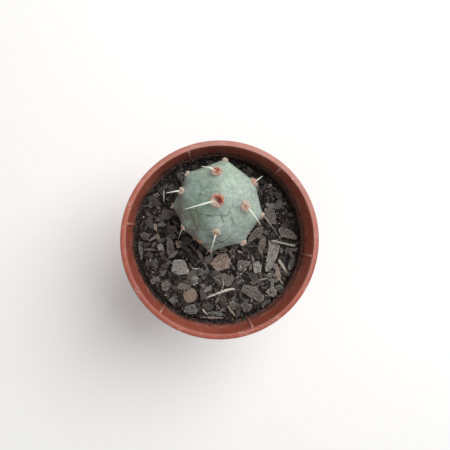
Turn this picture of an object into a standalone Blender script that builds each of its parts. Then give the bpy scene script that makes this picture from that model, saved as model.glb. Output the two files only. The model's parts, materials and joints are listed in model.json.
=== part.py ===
"""A young globular cactus in a small round nursery pot, with bark mulch on its mix.

The plant is one swollen stem segment. Woolly areoles stand on its low tubercles, and
some of them carry a spine. The pot is moulded in one piece, with a wide collar, six
stacking ribs on a ledge inside it, and a foot ring around a pierced base. Chips of bark,
a pebble and twigs lie loose on the potting mix.

The origin is on the pot's axis at the foot, +Z is up and -Y is the side with the most
open soil. Sizes are in metres, written as millimetres times MM.
"""

import math
import random
from typing import NamedTuple

import bmesh
import bpy
from mathutils import Euler, Matrix, Vector, noise
from mathutils.bvhtree import BVHTree

MM = 0.001
GAP = 0.3 * MM
UP = Vector((0, 0, 1))

# Pot
SEGMENTS = 60
POT_HEIGHT = 52 * MM
RIM_RADIUS = 30 * MM
RIM_WIDTH = 1.65 * MM
RIM_DEPTH = 1.7 * MM
RIM_ROUND = 0.8 * MM
COLLAR_WALL = 1.1 * MM
LEDGE_HEIGHT = 43.4 * MM
LEDGE_RADIUS = 27.0 * MM
LEDGE_WIDTH = 0.8 * MM
WALL = 0.8 * MM
FOOT_RADIUS = 20.5 * MM
FOOT_WIDTH = 1.7 * MM
FOOT_EDGE = 0.3 * MM
BASE_LIFT = 1.5 * MM
BASE_THICKNESS = 1.0 * MM
FLOOR_FILLET = 0.9 * MM

# Stacking ribs in the collar, and the drain holes in the base
RIB_COUNT = 6
RIB_BEARING = -10
RIB_THICKNESS = 0.75 * MM
RIB_PROUD = 0.2 * MM
RIB_TOP = 51.4 * MM
RIB_ROOT = 0.4 * MM
DRAIN_COUNT = 4
DRAIN_RADIUS = 2.2 * MM
DRAIN_CIRCLE = 12.5 * MM
DRAIN_SIDES = 20

# Potting mix
SOIL_LEVEL = 42.2 * MM
SOIL_RADIUS = 25.5 * MM
SOIL_FALL_X = -0.045
SOIL_FALL_Y = -0.035
LUMP_HEIGHT = 0.7 * MM
LUMP_SIZE = 6.5 * MM
SOIL_RINGS = 9

# Stem: an ellipsoid whose skin runs flat from one tubercle to the next
STEM_CENTRE = Vector((-0.7, 10.3, 52.0)) * MM
STEM_RADII = Vector((13.4, 13.6, 12.6)) * MM
STEM_SUBDIVISIONS = 4
FACE_HALF_ANGLE = math.radians(25)
RIDGE_SOFTNESS = math.radians(3.0)
PEAK_ROUND = math.radians(4.0)
AREOLE_RISE = 0.5
SPINE_POINTS = 6
SPINE_TIP = 0.3


class Areole(NamedTuple):
    """A woolly cushion: its bearing and polar angle on the stem in degrees, and its radius in mm."""

    bearing: float
    polar: float
    radius: float


class Spine(NamedTuple):
    """A spine: its areole, its tip in mm, its base diameter in mm and how far it bows upwards in mm."""

    areole: int
    tip: tuple
    diameter: float
    bow: float


class Chip(NamedTuple):
    """A flake of bark: its bark, thickness in mm, heading and tilt in degrees, and plan in mm."""

    bark: str
    thickness: float
    heading: float
    tilt: float
    outline: tuple


class Pebble(NamedTuple):
    """A round stone: its place and size in mm, and its heading in degrees."""

    x: float
    y: float
    length: float
    width: float
    thickness: float
    heading: float


class Twig(NamedTuple):
    """A thin stick lying flat: its diameter and the points it runs through in plan, in mm."""

    diameter: float
    line: tuple


# The crown first, then the rings down the stem; the last ring is below the widest part.
AREOLES = (
    Areole(142, 6, 1.9),
    Areole(97, 43, 1.5),
    Areole(-4, 31, 1.4),
    Areole(-99, 35, 0.95),
    Areole(161, 59, 0.95),
    Areole(33, 61, 1.1),
    Areole(83, 75, 0.8),
    Areole(-13, 72, 0.85),
    Areole(-57, 71, 0.85),
    Areole(-148, 66, 0.65),
    Areole(180, 86, 0.5),
    Areole(136, 72, 0.65),
    Areole(-101, 85, 0.55),
    Areole(-118, 63, 0.8),
    Areole(10, 118, 0.6),
    Areole(58, 119, 0.6),
    Areole(110, 118, 0.6),
    Areole(157, 120, 0.6),
    Areole(-162, 121, 0.6),
    Areole(-126, 119, 0.6),
    Areole(-78, 120, 0.6),
    Areole(-34, 118, 0.6),
)

SPINES = (
    Spine(0, (-10.7, 8.7, 67.0), 0.55, 0.25),
    Spine(1, (-6.1, 20.8, 62.5), 0.42, 0.4),
    Spine(2, (10.6, 4.6, 62.3), 0.55, 0.2),
    Spine(3, (-3.3, -2.8, 59.7), 0.5, 0.2),
    Spine(4, (-16.0, 13.5, 60.0), 0.42, 0.1),
    Spine(5, (11.6, 18.6, 59.3), 0.42, 0.0),
    Spine(7, (13.6, 5.2, 57.2), 0.34, 0.0),
    Spine(7, (18.7, -0.4, 51.0), 0.3, 0.5),
    Spine(9, (-12.6, 0.4, 56.2), 0.34, 0.1),
)

CHIPS = (
    Chip("pale", 2.4, 100, 8, (
        (-15.3, -9.9), (-14.9, -8.0), (-14.6, -6.5), (-12.7, -6.3), (-11.0, -6.4),
        (-10.2, -8.1), (-9.6, -9.5), (-10.0, -10.9), (-12.1, -11.2), (-14.3, -10.5),
    )),
    Chip("red", 1.8, 27, 6, (
        (-3.3, -7.5), (-1.8, -5.9), (0.1, -4.3), (2.2, -4.1), (3.1, -5.7),
        (4.2, -8.2), (1.7, -9.5), (-0.7, -10.3), (-2.1, -9.0),
    )),
    Chip("brown", 1.6, -12, 4, (
        (-2.4, -12.0), (-0.3, -11.1), (1.7, -10.9), (3.2, -11.4), (3.9, -12.7),
        (4.1, -13.9), (3.0, -15.1), (0.8, -14.6), (-0.8, -13.7),
    )),
    Chip("grey", 1.5, 79, 6, (
        (15.7, -0.4), (17.5, -0.8), (19.6, -1.5), (19.2, -3.6), (18.1, -6.3),
        (17.1, -9.0), (15.1, -10.7), (14.5, -10.2), (14.7, -7.8), (15.2, -4.7),
    )),
    Chip("grey_brown", 1.8, -40, 7, (
        (6.5, -16.4), (7.4, -14.6), (8.8, -14.3), (11.6, -14.9), (12.8, -16.3),
        (14.2, -18.2), (14.2, -19.3), (13.0, -20.3), (11.1, -19.0), (8.8, -17.9),
    )),
    Chip("grey", 1.8, 80, 5, (
        (10.5, -8.1), (11.2, -7.3), (12.6, -7.1), (13.5, -8.4), (13.4, -10.4),
        (11.9, -11.0), (11.1, -10.8),
    )),
    Chip("grey_brown", 1.6, 12, 6, (
        (5.2, -8.1), (5.8, -6.7), (7.4, -6.5), (9.8, -7.2), (10.0, -8.1),
        (8.1, -9.2), (6.4, -10.3), (5.9, -10.1),
    )),
    Chip("grey", 1.6, -30, 8, (
        (14.7, -17.0), (15.5, -15.7), (17.3, -15.0), (18.5, -16.2), (18.5, -17.5),
        (17.5, -18.6), (15.8, -18.1),
    )),
    Chip("slate", 1.4, 38, 12, (
        (13.2, -21.2), (14.4, -20.1), (15.6, -19.4), (16.4, -19.6), (16.4, -19.9),
        (15.2, -20.8), (13.7, -21.8),
    )),
    Chip("brown", 1.5, 72, 8, (
        (12.1, -3.3), (12.5, -1.1), (13.4, 0.2), (14.9, 0.3), (14.7, -2.1),
        (13.4, -5.2), (12.5, -4.5),
    )),
    Chip("red", 1.3, 38, 5, (
        (8.8, -0.9), (10.2, 2.0), (11.8, 3.7), (14.2, 4.1), (14.2, 2.4),
        (13.0, 0.8), (11.2, -0.3), (9.5, -1.2),
    )),
    Chip("brown", 1.7, 60, 9, (
        (14.1, 9.7), (15.3, 10.1), (17.7, 9.4), (18.1, 7.5), (18.4, 4.8),
        (16.0, 4.6), (14.7, 5.9),
    )),
    Chip("grey_brown", 1.8, -35, 10, (
        (18.7, 3.0), (19.5, 3.9), (20.7, 3.8), (23.7, 2.5), (25.2, 0.6),
        (25.0, -0.5), (22.8, 0.1), (19.8, 0.8),
    )),
    Chip("slate", 1.2, 75, 24, (
        (21.9, -8.7), (23.0, -6.0), (24.3, -4.7), (24.6, -7.0), (23.4, -9.9),
        (22.2, -10.1),
    )),
    Chip("violet", 2.0, -10, 6, (
        (-18.8, 7.4), (-17.7, 9.5), (-15.5, 9.3), (-14.4, 8.9), (-14.4, 7.6),
        (-16.1, 6.2), (-18.3, 6.1),
    )),
    Chip("grey_brown", 1.9, 76, 10, (
        (-16.7, 1.0), (-15.6, 0.9), (-14.4, -2.0), (-14.3, -4.0), (-15.2, -5.5),
        (-16.4, -4.7), (-16.8, -2.0),
    )),
    Chip("red", 1.6, 80, 6, (
        (-13.8, -0.4), (-12.1, -0.2), (-11.7, -1.9), (-12.7, -3.1), (-13.5, -2.7),
    )),
    Chip("slate", 1.5, 83, 20, (
        (-25.6, -0.8), (-24.6, -0.4), (-23.8, -3.0), (-23.9, -6.0), (-24.6, -6.6),
        (-25.3, -3.9),
    )),
    Chip("slate", 1.7, -8, 8, (
        (-11.6, -22.7), (-11.1, -21.2), (-10.2, -20.6), (-7.7, -20.4), (-6.8, -22.1),
        (-7.3, -23.3), (-9.5, -23.7),
    )),
)
PEBBLE = Pebble(-9.1, -17.6, 4.8, 4.6, 2.8, 20)
CHIP_RINGS = ((-0.5, 0.82), (0.1, 1.0), (0.5, 0.9))
CHIP_EDGE = 0.12 * MM
DROP_HEIGHT = 70 * MM
EDGE_SAMPLES = 5

TWIGS = (
    Twig(0.75, ((-4.3, -18.6), (-1.6, -17.4), (0.4, -16.9), (1.9, -16.2), (3.9, -15.7), (6.1, -15.8))),
    Twig(0.65, ((0.8, -19.2), (2.3, -20.9), (3.5, -22.5), (4.6, -23.9), (5.3, -24.6))),
    Twig(0.65, ((9.9, -13.9), (11.6, -13.3), (13.3, -13.0), (15.5, -12.6))),
    Twig(0.8, ((16.4, -0.5), (19.1, -1.1), (21.6, -1.6), (24.2, -2.2))),
    Twig(1.1, ((19.0, -6.6), (20.2, -8.4), (21.2, -10.0), (22.2, -11.8))),
)

BARK = {
    "pale": (0.27, 0.25, 0.24),
    "grey": (0.19, 0.185, 0.16),
    "grey_brown": (0.14, 0.12, 0.11),
    "brown": (0.15, 0.11, 0.09),
    "red": (0.24, 0.15, 0.11),
    "slate": (0.07, 0.078, 0.075),
    "violet": (0.075, 0.06, 0.065),
    "tan": (0.30, 0.21, 0.15),
}


def clear_scene():
    """Empty the scene, so that the model stands alone in it."""
    for thing in list(bpy.data.objects):
        bpy.data.objects.remove(thing, do_unlink=True)


def new_collection(name):
    """Add a collection to the scene and return it."""
    collection = bpy.data.collections.new(name)
    bpy.context.scene.collection.children.link(collection)
    return collection


def new_material(name, colour, roughness):
    """Return a plain dielectric material of one colour."""
    material = bpy.data.materials.new(name)
    material.use_nodes = True
    shader = material.node_tree.nodes["Principled BSDF"]
    shader.inputs["Base Color"].default_value = (*colour, 1)
    shader.inputs["Roughness"].default_value = roughness
    shader.inputs["Metallic"].default_value = 0
    material.diffuse_color = (*colour, 1)
    return material


def add_piece(name, data, collection, material=None):
    """Put mesh or curve data in the scene as a named piece and return it."""
    piece = bpy.data.objects.new(name, data)
    if material:
        data.materials.append(material)
    collection.objects.link(piece)
    return piece


def add_cutter(name, mesh, collection):
    """Put a helper solid in the scene, out of the render, and return it."""
    cutter = add_piece(name, mesh, collection)
    cutter.hide_render = True
    cutter.display_type = "WIRE"
    return cutter


def mesh_from(bm, name):
    """Turn a bmesh into mesh data and free it."""
    mesh = bpy.data.meshes.new(name)
    bm.to_mesh(mesh)
    bm.free()
    return mesh


def shade_smooth(piece, crease=35):
    """Shade a mesh smooth, except across edges sharper than the crease angle in degrees."""
    piece.data.shade_smooth()
    piece.data.set_sharp_from_angle(angle=math.radians(crease))


def add_boolean(piece, cutter, operation):
    """Join a helper solid to a piece, or cut it out."""
    modifier = piece.modifiers.new(operation.title(), "BOOLEAN")
    modifier.operation = operation
    modifier.object = cutter
    modifier.solver = "EXACT"


def turned_piece(name, profile, collection, material):
    """Turn a profile of (radius, height) points about the Z axis."""
    mesh = bpy.data.meshes.new(name)
    points = [(radius, 0, height) for radius, height in profile]
    edges = [(index, index + 1) for index in range(len(points) - 1)]
    mesh.from_pydata(points, edges, [])
    piece = add_piece(name, mesh, collection, material)
    screw = piece.modifiers.new("Turn", "SCREW")
    screw.steps = SEGMENTS
    screw.render_steps = SEGMENTS
    screw.use_merge_vertices = True
    screw.merge_threshold = 0.0001
    screw.use_smooth_shade = True
    return piece


def arc(centre, radius, first, last, steps):
    """Points on an arc in the profile plane, from the first angle to the last, in degrees."""
    angles = [math.radians(first + (last - first) * step / steps) for step in range(steps + 1)]
    return [(centre[0] + radius * math.cos(a), centre[1] + radius * math.sin(a)) for a in angles]


def collar_inside(height):
    """Radius of the collar's inner wall at a height."""
    share = (height - LEDGE_HEIGHT) / (POT_HEIGHT - LEDGE_HEIGHT)
    return LEDGE_RADIUS + share * (RIM_RADIUS - RIM_WIDTH - LEDGE_RADIUS)


def pot_profile():
    """Half section of the pot, from the middle of its floor, up inside and down outside."""
    floor_top = BASE_LIFT + BASE_THICKNESS
    inner_foot = FOOT_RADIUS - WALL
    throat = LEDGE_RADIUS - LEDGE_WIDTH
    lip_under = POT_HEIGHT - RIM_DEPTH
    step = LEDGE_HEIGHT - COLLAR_WALL
    round_centre = (RIM_RADIUS - RIM_ROUND, POT_HEIGHT - RIM_ROUND)
    inside = [
        (0, floor_top),
        (inner_foot - FLOOR_FILLET, floor_top),
        (inner_foot, floor_top + FLOOR_FILLET),
        (throat, LEDGE_HEIGHT - FOOT_EDGE),
        (LEDGE_RADIUS, LEDGE_HEIGHT),
        (RIM_RADIUS - RIM_WIDTH, POT_HEIGHT),
    ]
    lip = arc(round_centre, RIM_ROUND, 90, 0, 3)
    outside = [
        (RIM_RADIUS, lip_under + FOOT_EDGE),
        (collar_inside(lip_under) + COLLAR_WALL, lip_under),
        (LEDGE_RADIUS + COLLAR_WALL, LEDGE_HEIGHT),
        (LEDGE_RADIUS + COLLAR_WALL - FOOT_EDGE, step),
        (throat + WALL, step - FOOT_EDGE),
        (FOOT_RADIUS, FOOT_EDGE),
        (FOOT_RADIUS - FOOT_EDGE, 0),
        (FOOT_RADIUS - FOOT_WIDTH, 0),
        (FOOT_RADIUS - FOOT_WIDTH - FOOT_EDGE, BASE_LIFT),
        (0, BASE_LIFT),
    ]
    return inside + lip + outside


def rib_mesh():
    """Six thin webs on the ledge, rooted in the collar and tapering up to the rim."""
    bottom = LEDGE_HEIGHT - FOOT_EDGE - RIB_ROOT
    faces = {
        -1: (LEDGE_RADIUS - LEDGE_WIDTH + 0.1 * MM, LEDGE_RADIUS + RIB_ROOT, bottom),
        1: (collar_inside(RIB_TOP) - RIB_PROUD, collar_inside(RIB_TOP) + RIB_ROOT, RIB_TOP),
    }
    bm = bmesh.new()
    for index in range(RIB_COUNT):
        turn = Matrix.Rotation(math.radians(RIB_BEARING + index * 360 / RIB_COUNT), 3, "Z")
        for vertex in bmesh.ops.create_cube(bm, size=2)["verts"]:
            inner, outer, height = faces[round(vertex.co.z)]
            radius = outer if vertex.co.x > 0 else inner
            vertex.co = turn @ Vector((radius, vertex.co.y * RIB_THICKNESS / 2, height))
    return mesh_from(bm, "rib_webs")


def drain_mesh():
    """Four pins that cut the drain holes in the floor."""
    bm = bmesh.new()
    for index in range(DRAIN_COUNT):
        bearing = math.radians(45 + index * 360 / DRAIN_COUNT)
        place = Vector((math.cos(bearing), math.sin(bearing), 0)) * DRAIN_CIRCLE
        bmesh.ops.create_cone(
            bm,
            cap_ends=True,
            segments=DRAIN_SIDES,
            radius1=DRAIN_RADIUS,
            radius2=DRAIN_RADIUS,
            depth=4 * (BASE_LIFT + BASE_THICKNESS),
            matrix=Matrix.Translation(place),
        )
    return mesh_from(bm, "drain_pins")


def make_pot(collection, cutters):
    """The moulded pot with its ribs and drain holes."""
    plastic = new_material("terracotta_plastic", (0.40, 0.13, 0.09), 0.42)
    pot = turned_piece("pot", pot_profile(), collection, plastic)
    add_boolean(pot, add_cutter("rib_webs", rib_mesh(), cutters), "UNION")
    add_boolean(pot, add_cutter("drain_pins", drain_mesh(), cutters), "DIFFERENCE")
    return pot


def soil_height(x, y):
    """Height of the mix: it falls away from the near left side and is lumpy."""
    lump = LUMP_HEIGHT * noise.noise(Vector((x, y, 0)) / LUMP_SIZE)
    return SOIL_LEVEL + SOIL_FALL_X * x + SOIL_FALL_Y * y + lump


def make_soil(collection, cutters):
    """The potting mix, filling the pot and hollowed where the stem sits in it."""
    bottom = BASE_LIFT + BASE_THICKNESS + GAP
    foot = FOOT_RADIUS - WALL - FLOOR_FILLET - GAP
    top = [SOIL_RADIUS * ring / SOIL_RINGS for ring in range(SOIL_RINGS + 1)]
    profile = [(radius, SOIL_LEVEL) for radius in top] + [(foot, bottom), (0, bottom)]
    blank = turned_piece("mix_blank", profile, cutters, None)
    graph = bpy.context.evaluated_depsgraph_get()
    mesh = bpy.data.meshes.new_from_object(blank.evaluated_get(graph))
    bpy.data.objects.remove(blank)
    for vertex in mesh.vertices:
        if vertex.co.z > SOIL_LEVEL / 2:
            vertex.co.z = soil_height(vertex.co.x, vertex.co.y)
    mix = new_material("potting_mix", (0.035, 0.028, 0.024), 0.95)
    soil = add_piece("potting_mix", mesh, collection, mix)
    socket = add_cutter("stem_socket", stem_mesh("stem_socket", GAP), cutters)
    add_boolean(soil, socket, "DIFFERENCE")
    return soil


def direction_of(bearing, polar):
    """Unit vector at a bearing from +X and a polar angle from +Z, in degrees."""
    turn, lean = math.radians(bearing), math.radians(polar)
    return Vector((math.sin(lean) * math.cos(turn), math.sin(lean) * math.sin(turn), math.cos(lean)))


TUBERCLES = tuple(direction_of(areole.bearing, areole.polar) for areole in AREOLES)


def stem_point(direction, clearance=0.0):
    """Point of the skin in a direction from the stem's centre, moved out by a clearance.

    The skin's distance is that of a flat face that reaches from the nearest tubercle to
    halfway to its neighbour; a soft minimum over the tubercles rounds the furrows.
    """
    angles = [math.hypot(direction.angle(tubercle), PEAK_ROUND) for tubercle in TUBERCLES]
    nearest = min(angles)
    crowd = sum(math.exp((nearest - angle) / RIDGE_SOFTNESS) for angle in angles)
    angle = nearest - RIDGE_SOFTNESS * math.log(crowd)
    angle = min(max(angle - PEAK_ROUND, 0), FACE_HALF_ANGLE)
    face = math.cos(FACE_HALF_ANGLE) / math.cos(FACE_HALF_ANGLE - angle)
    return STEM_CENTRE + direction * STEM_RADII * face + direction * clearance


def stem_mesh(name, clearance):
    """The stem's skin, or the socket that clears it, with a mesh corner on each tubercle."""
    bm = bmesh.new()
    bmesh.ops.create_icosphere(bm, subdivisions=STEM_SUBDIVISIONS, radius=1)
    for tubercle in TUBERCLES:
        peak = min(bm.verts, key=lambda vertex: vertex.co.angle(tubercle))
        peak.co = tubercle
    for vertex in bm.verts:
        vertex.co = stem_point(vertex.co.normalized(), clearance)
    return mesh_from(bm, name)


def areole_frame(index):
    """Where an areole's cushion sits: its middle, and its outward direction."""
    direction = TUBERCLES[index]
    normal = Vector([direction[axis] / STEM_RADII[axis] for axis in range(3)]).normalized()
    rise = AREOLES[index].radius * MM * AREOLE_RISE
    return stem_point(direction) + normal * (rise + GAP), normal


def make_areole(index, collection, material):
    """One woolly cushion on its tubercle."""
    middle, normal = areole_frame(index)
    radius = AREOLES[index].radius * MM
    bm = bmesh.new()
    bmesh.ops.create_icosphere(bm, subdivisions=2, radius=radius)
    bmesh.ops.scale(bm, vec=(1, 1, AREOLE_RISE), verts=bm.verts)
    name = f"areole_{index + 1:02d}"
    areole = add_piece(name, mesh_from(bm, name), collection, material)
    areole.location = middle
    areole.rotation_euler = normal.to_track_quat("Z", "Y").to_euler()
    shade_smooth(areole, 180)
    return areole


def spine_root(areole, tip):
    """Where a spine that ends at the tip leaves its cushion, clear of it."""
    middle, normal = areole_frame(areole)
    towards = (tip - middle).normalized()
    radius = AREOLES[areole].radius * MM
    rise = towards.dot(normal)
    spread = math.sqrt(max(1 - rise * rise, 0))
    leave = 1 / math.hypot(spread / radius, rise / (radius * AREOLE_RISE))
    return middle + towards * (leave + GAP)


def tapered_curve(name, points, radius, tip_share):
    """A round rod through the points that thins to a share of its radius at the end."""
    curve = bpy.data.curves.new(name, "CURVE")
    curve.dimensions = "3D"
    curve.bevel_depth = radius
    curve.bevel_resolution = 1
    curve.use_fill_caps = True
    spline = curve.splines.new("POLY")
    spline.points.add(len(points) - 1)
    for index, (slot, point) in enumerate(zip(spline.points, points)):
        slot.co = (*point, 1)
        slot.radius = 1 - (1 - tip_share) * (index / (len(points) - 1)) ** 1.5
    return curve


def make_spine(index, collection, material):
    """One spine, bowed a little and tapered to its tip."""
    spine = SPINES[index]
    tip = Vector(spine.tip) * MM
    root = spine_root(spine.areole, tip)
    points = []
    for step in range(SPINE_POINTS):
        share = step / (SPINE_POINTS - 1)
        points.append(root.lerp(tip, share) + UP * spine.bow * MM * math.sin(math.pi * share))
    name = f"spine_{index + 1:02d}"
    curve = tapered_curve(name, points, spine.diameter * MM / 2, SPINE_TIP)
    return add_piece(name, curve, collection, material)


def chip_middle(chip):
    """Middle of a chip's outline, in mm."""
    return sum((Vector(point) for point in chip.outline), Vector((0, 0))) / len(chip.outline)


def chip_mesh(name, chip, seed):
    """A flat angular flake over its outline, widest above its middle, with a slanting top."""
    draw = random.Random(seed)
    middle = chip_middle(chip)
    turn = Matrix.Rotation(-math.radians(chip.heading), 2)
    bm = bmesh.new()
    rings = []
    for level, share in CHIP_RINGS:
        ring = []
        for point in chip.outline:
            spread = share if share == 1 else share + draw.uniform(-0.06, 0.06)
            flat = turn @ (Vector(point) - middle) * spread
            ring.append(bm.verts.new(Vector((*flat, chip.thickness * level)) * MM))
        rings.append(ring)
    bm.faces.new(rings[0])
    bm.faces.new(rings[-1])
    for lower, upper in zip(rings, rings[1:]):
        count = len(lower)
        for here in range(count):
            beside = (here + 1) % count
            bm.faces.new((lower[here], lower[beside], upper[beside], upper[here]))
    lean = Vector((draw.uniform(-0.1, 0.1), draw.uniform(-0.16, 0.16), 1))
    slice_off(bm, Vector((0, 0, chip.thickness * 0.42)) * MM, lean)
    bmesh.ops.recalc_face_normals(bm, faces=bm.faces)
    bmesh.ops.bevel(
        bm, geom=bm.edges[:], offset=CHIP_EDGE, segments=1, affect="EDGES", clamp_overlap=True
    )
    bmesh.ops.remove_doubles(bm, verts=bm.verts, dist=0.02 * MM)
    return mesh_from(bm, name)


def slice_off(bm, point, normal):
    """Cut away what lies beyond a plane and close the cut."""
    geometry = bm.verts[:] + bm.edges[:] + bm.faces[:]
    bmesh.ops.bisect_plane(bm, geom=geometry, plane_co=point, plane_no=normal, clear_outer=True)
    open_edges = [edge for edge in bm.edges if edge.is_boundary]
    if open_edges:
        bmesh.ops.holes_fill(bm, edges=open_edges)


def pebble_mesh(name, pebble):
    """A worn round stone."""
    bm = bmesh.new()
    bmesh.ops.create_icosphere(bm, subdivisions=2, radius=0.5)
    for vertex in bm.verts:
        vertex.co *= 1 + 0.18 * noise.noise(vertex.co * 2.2)
    size = Vector((pebble.length, pebble.width, pebble.thickness)) * MM
    bmesh.ops.scale(bm, vec=size, verts=bm.verts)
    return mesh_from(bm, name)


def world_shape(piece):
    """The corners and faces of a piece where it stands."""
    bpy.context.view_layer.update()
    graph = bpy.context.evaluated_depsgraph_get()
    mesh = bpy.data.meshes.new_from_object(piece.evaluated_get(graph))
    corners = [piece.matrix_world @ vertex.co for vertex in mesh.vertices]
    faces = [tuple(polygon.vertices) for polygon in mesh.polygons]
    bpy.data.meshes.remove(mesh)
    return corners, faces


class Heap:
    """What already lies in the pot: a new piece comes down on it and becomes part of it."""

    def __init__(self, ground):
        self.shapes = [world_shape(ground)]

    @staticmethod
    def samples(shape):
        """Points spread over a shape's edges and faces."""
        corners, faces = shape
        points = list(corners)
        for face in faces:
            ring = [corners[index] for index in face]
            points.append(sum(ring, Vector()) / len(ring))
            for first, second in zip(ring, ring[1:] + ring[:1]):
                points += [first.lerp(second, s / EDGE_SAMPLES) for s in range(1, EDGE_SAMPLES)]
        return points

    def settle(self, piece):
        """Lower a piece straight down until it rests a small gap above the heap."""
        piece.location.z = DROP_HEIGHT
        falling = world_shape(piece)
        falling_tree = BVHTree.FromPolygons(*falling)
        falling_points = self.samples(falling)
        low = min(point.z for point in falling[0])
        drops = []
        for shape in self.shapes:
            tree = BVHTree.FromPolygons(*shape)
            for point in falling_points:
                drops.append(tree.ray_cast(point, -UP)[3])
            for point in self.samples(shape):
                if point.z < low:
                    drops.append(falling_tree.ray_cast(point, UP)[3])
        piece.location.z -= min(drop for drop in drops if drop is not None) - GAP
        self.shapes.append(world_shape(piece))


def make_chips(collection, heap):
    """The larger pieces of bark and a pebble, laid one after another."""
    barks = {name: new_material(f"{name}_bark", colour, 0.9) for name, colour in BARK.items()}
    for index, chip in enumerate(CHIPS):
        name = f"bark_chip_{index + 1:02d}"
        piece = add_piece(name, chip_mesh(name, chip, index), collection, barks[chip.bark])
        piece.location = (*(chip_middle(chip) * MM), 0)
        tilt = math.radians(chip.tilt)
        piece.rotation_euler = Euler((tilt, tilt / 3, math.radians(chip.heading)))
        heap.settle(piece)
    pebble = add_piece("pebble", pebble_mesh("pebble", PEBBLE), collection, barks["tan"])
    pebble.location = (PEBBLE.x * MM, PEBBLE.y * MM, 0)
    pebble.rotation_euler = (0, 0, math.radians(PEBBLE.heading))
    shade_smooth(pebble, 180)
    heap.settle(pebble)


def make_twigs(collection, heap):
    """Thin sticks across the top of the bark."""
    wood = new_material("dry_twig", (0.32, 0.26, 0.20), 0.85)
    for index, twig in enumerate(TWIGS):
        line = [Vector((*point, 0)) * MM for point in twig.line]
        middle = (line[0] + line[-1]) / 2
        points = [point - middle for point in line]
        name = f"twig_{index + 1:02d}"
        piece = add_piece(name, tapered_curve(name, points, twig.diameter * MM / 2, 0.7), collection, wood)
        piece.location = middle
        heap.settle(piece)


def main():
    """Build the potted cactus from the pot inwards."""
    clear_scene()
    plant = new_collection("potted_cactus")
    cutters = new_collection("cutters")
    make_pot(plant, cutters)
    soil = make_soil(plant, cutters)
    skin = new_material("stem_skin", (0.26, 0.36, 0.28), 0.6)
    shade_smooth(add_piece("cactus_stem", stem_mesh("cactus_stem", 0), plant, skin), 180)
    wool = new_material("areole_wool", (0.62, 0.36, 0.24), 0.95)
    for index in range(len(AREOLES)):
        make_areole(index, plant, wool)
    horn = new_material("spine_horn", (0.66, 0.70, 0.60), 0.5)
    for index in range(len(SPINES)):
        make_spine(index, plant, horn)
    heap = Heap(soil)
    make_chips(plant, heap)
    make_twigs(plant, heap)


main()
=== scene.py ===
"""The looks of a young globular cactus in a small round nursery pot.

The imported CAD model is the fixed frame. Every sub-assembly below is a class that reads its
place from the CAD nodes, builds its own finer meshes over them and dresses them in
procedural materials: the moulded pot, the potting mix with its crumbs, bits and fibres, the
bark chips, the pebble, the twigs, the stem, the areoles with their wool and glochids, and
the spines. Meshes are made in millimetres and turned to metres when a piece is finished.
"""

import itertools
import json
import logging
import math
import random
from dataclasses import dataclass, field
from enum import Enum
from typing import Callable, Iterable, Sequence

import bmesh
import bpy
import numpy as np
from mathutils import Matrix, Vector
from mathutils.bvhtree import BVHTree

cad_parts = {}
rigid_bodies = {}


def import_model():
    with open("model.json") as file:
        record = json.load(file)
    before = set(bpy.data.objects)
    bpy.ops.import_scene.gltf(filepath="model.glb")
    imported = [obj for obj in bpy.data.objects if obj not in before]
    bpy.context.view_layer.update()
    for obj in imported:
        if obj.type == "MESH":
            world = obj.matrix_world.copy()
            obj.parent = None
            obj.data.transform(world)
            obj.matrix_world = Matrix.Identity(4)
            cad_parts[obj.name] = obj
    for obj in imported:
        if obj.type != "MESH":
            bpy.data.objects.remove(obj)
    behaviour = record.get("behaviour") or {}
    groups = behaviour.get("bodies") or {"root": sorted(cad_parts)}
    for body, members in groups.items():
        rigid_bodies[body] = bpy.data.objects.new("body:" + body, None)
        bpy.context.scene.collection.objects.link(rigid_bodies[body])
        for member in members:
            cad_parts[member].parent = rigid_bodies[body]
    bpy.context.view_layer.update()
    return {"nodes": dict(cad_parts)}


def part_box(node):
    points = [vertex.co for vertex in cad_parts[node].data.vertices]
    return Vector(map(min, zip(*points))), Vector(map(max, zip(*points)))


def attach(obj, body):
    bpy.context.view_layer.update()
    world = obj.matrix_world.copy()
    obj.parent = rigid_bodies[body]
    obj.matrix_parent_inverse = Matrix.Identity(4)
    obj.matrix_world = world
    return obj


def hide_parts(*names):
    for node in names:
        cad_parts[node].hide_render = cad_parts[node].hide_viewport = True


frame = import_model()

LOG = logging.getLogger("potted_cactus")
MM = 0.001
PER_MM = 1000
BODY = "root"
UP = np.array([0.0, 0.0, 1.0])
DOWN = Vector((0, 0, -1))
ABOVE_ALL = 60

Direction = tuple[float, float, float]
Colour = tuple[float, float, float]
Array = np.ndarray
Mesh = bpy.types.Mesh
Object = bpy.types.Object
Material = bpy.types.Material
Socket = bpy.types.NodeSocket
Node = bpy.types.Node


def tint(red: float, green: float, blue: float) -> Colour:
    """A colour as seen, 0 to 255 a channel, turned to the linear light that shaders use.

    Args:
        red: Red as seen.
        green: Green as seen.
        blue: Blue as seen.

    Returns:
        The linear red, green and blue, 0 to 1.
    """
    seen = np.array([red, green, blue]) / 255
    linear = np.where(seen <= 0.04045, seen / 12.92, ((seen + 0.055) / 1.055) ** 2.4)
    return tuple(float(value) for value in linear)


def tints(*seen: tuple[float, float, float]) -> tuple[Colour, ...]:
    """Several colours as seen, each turned to linear light."""
    return tuple(tint(*colour) for colour in seen)


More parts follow.
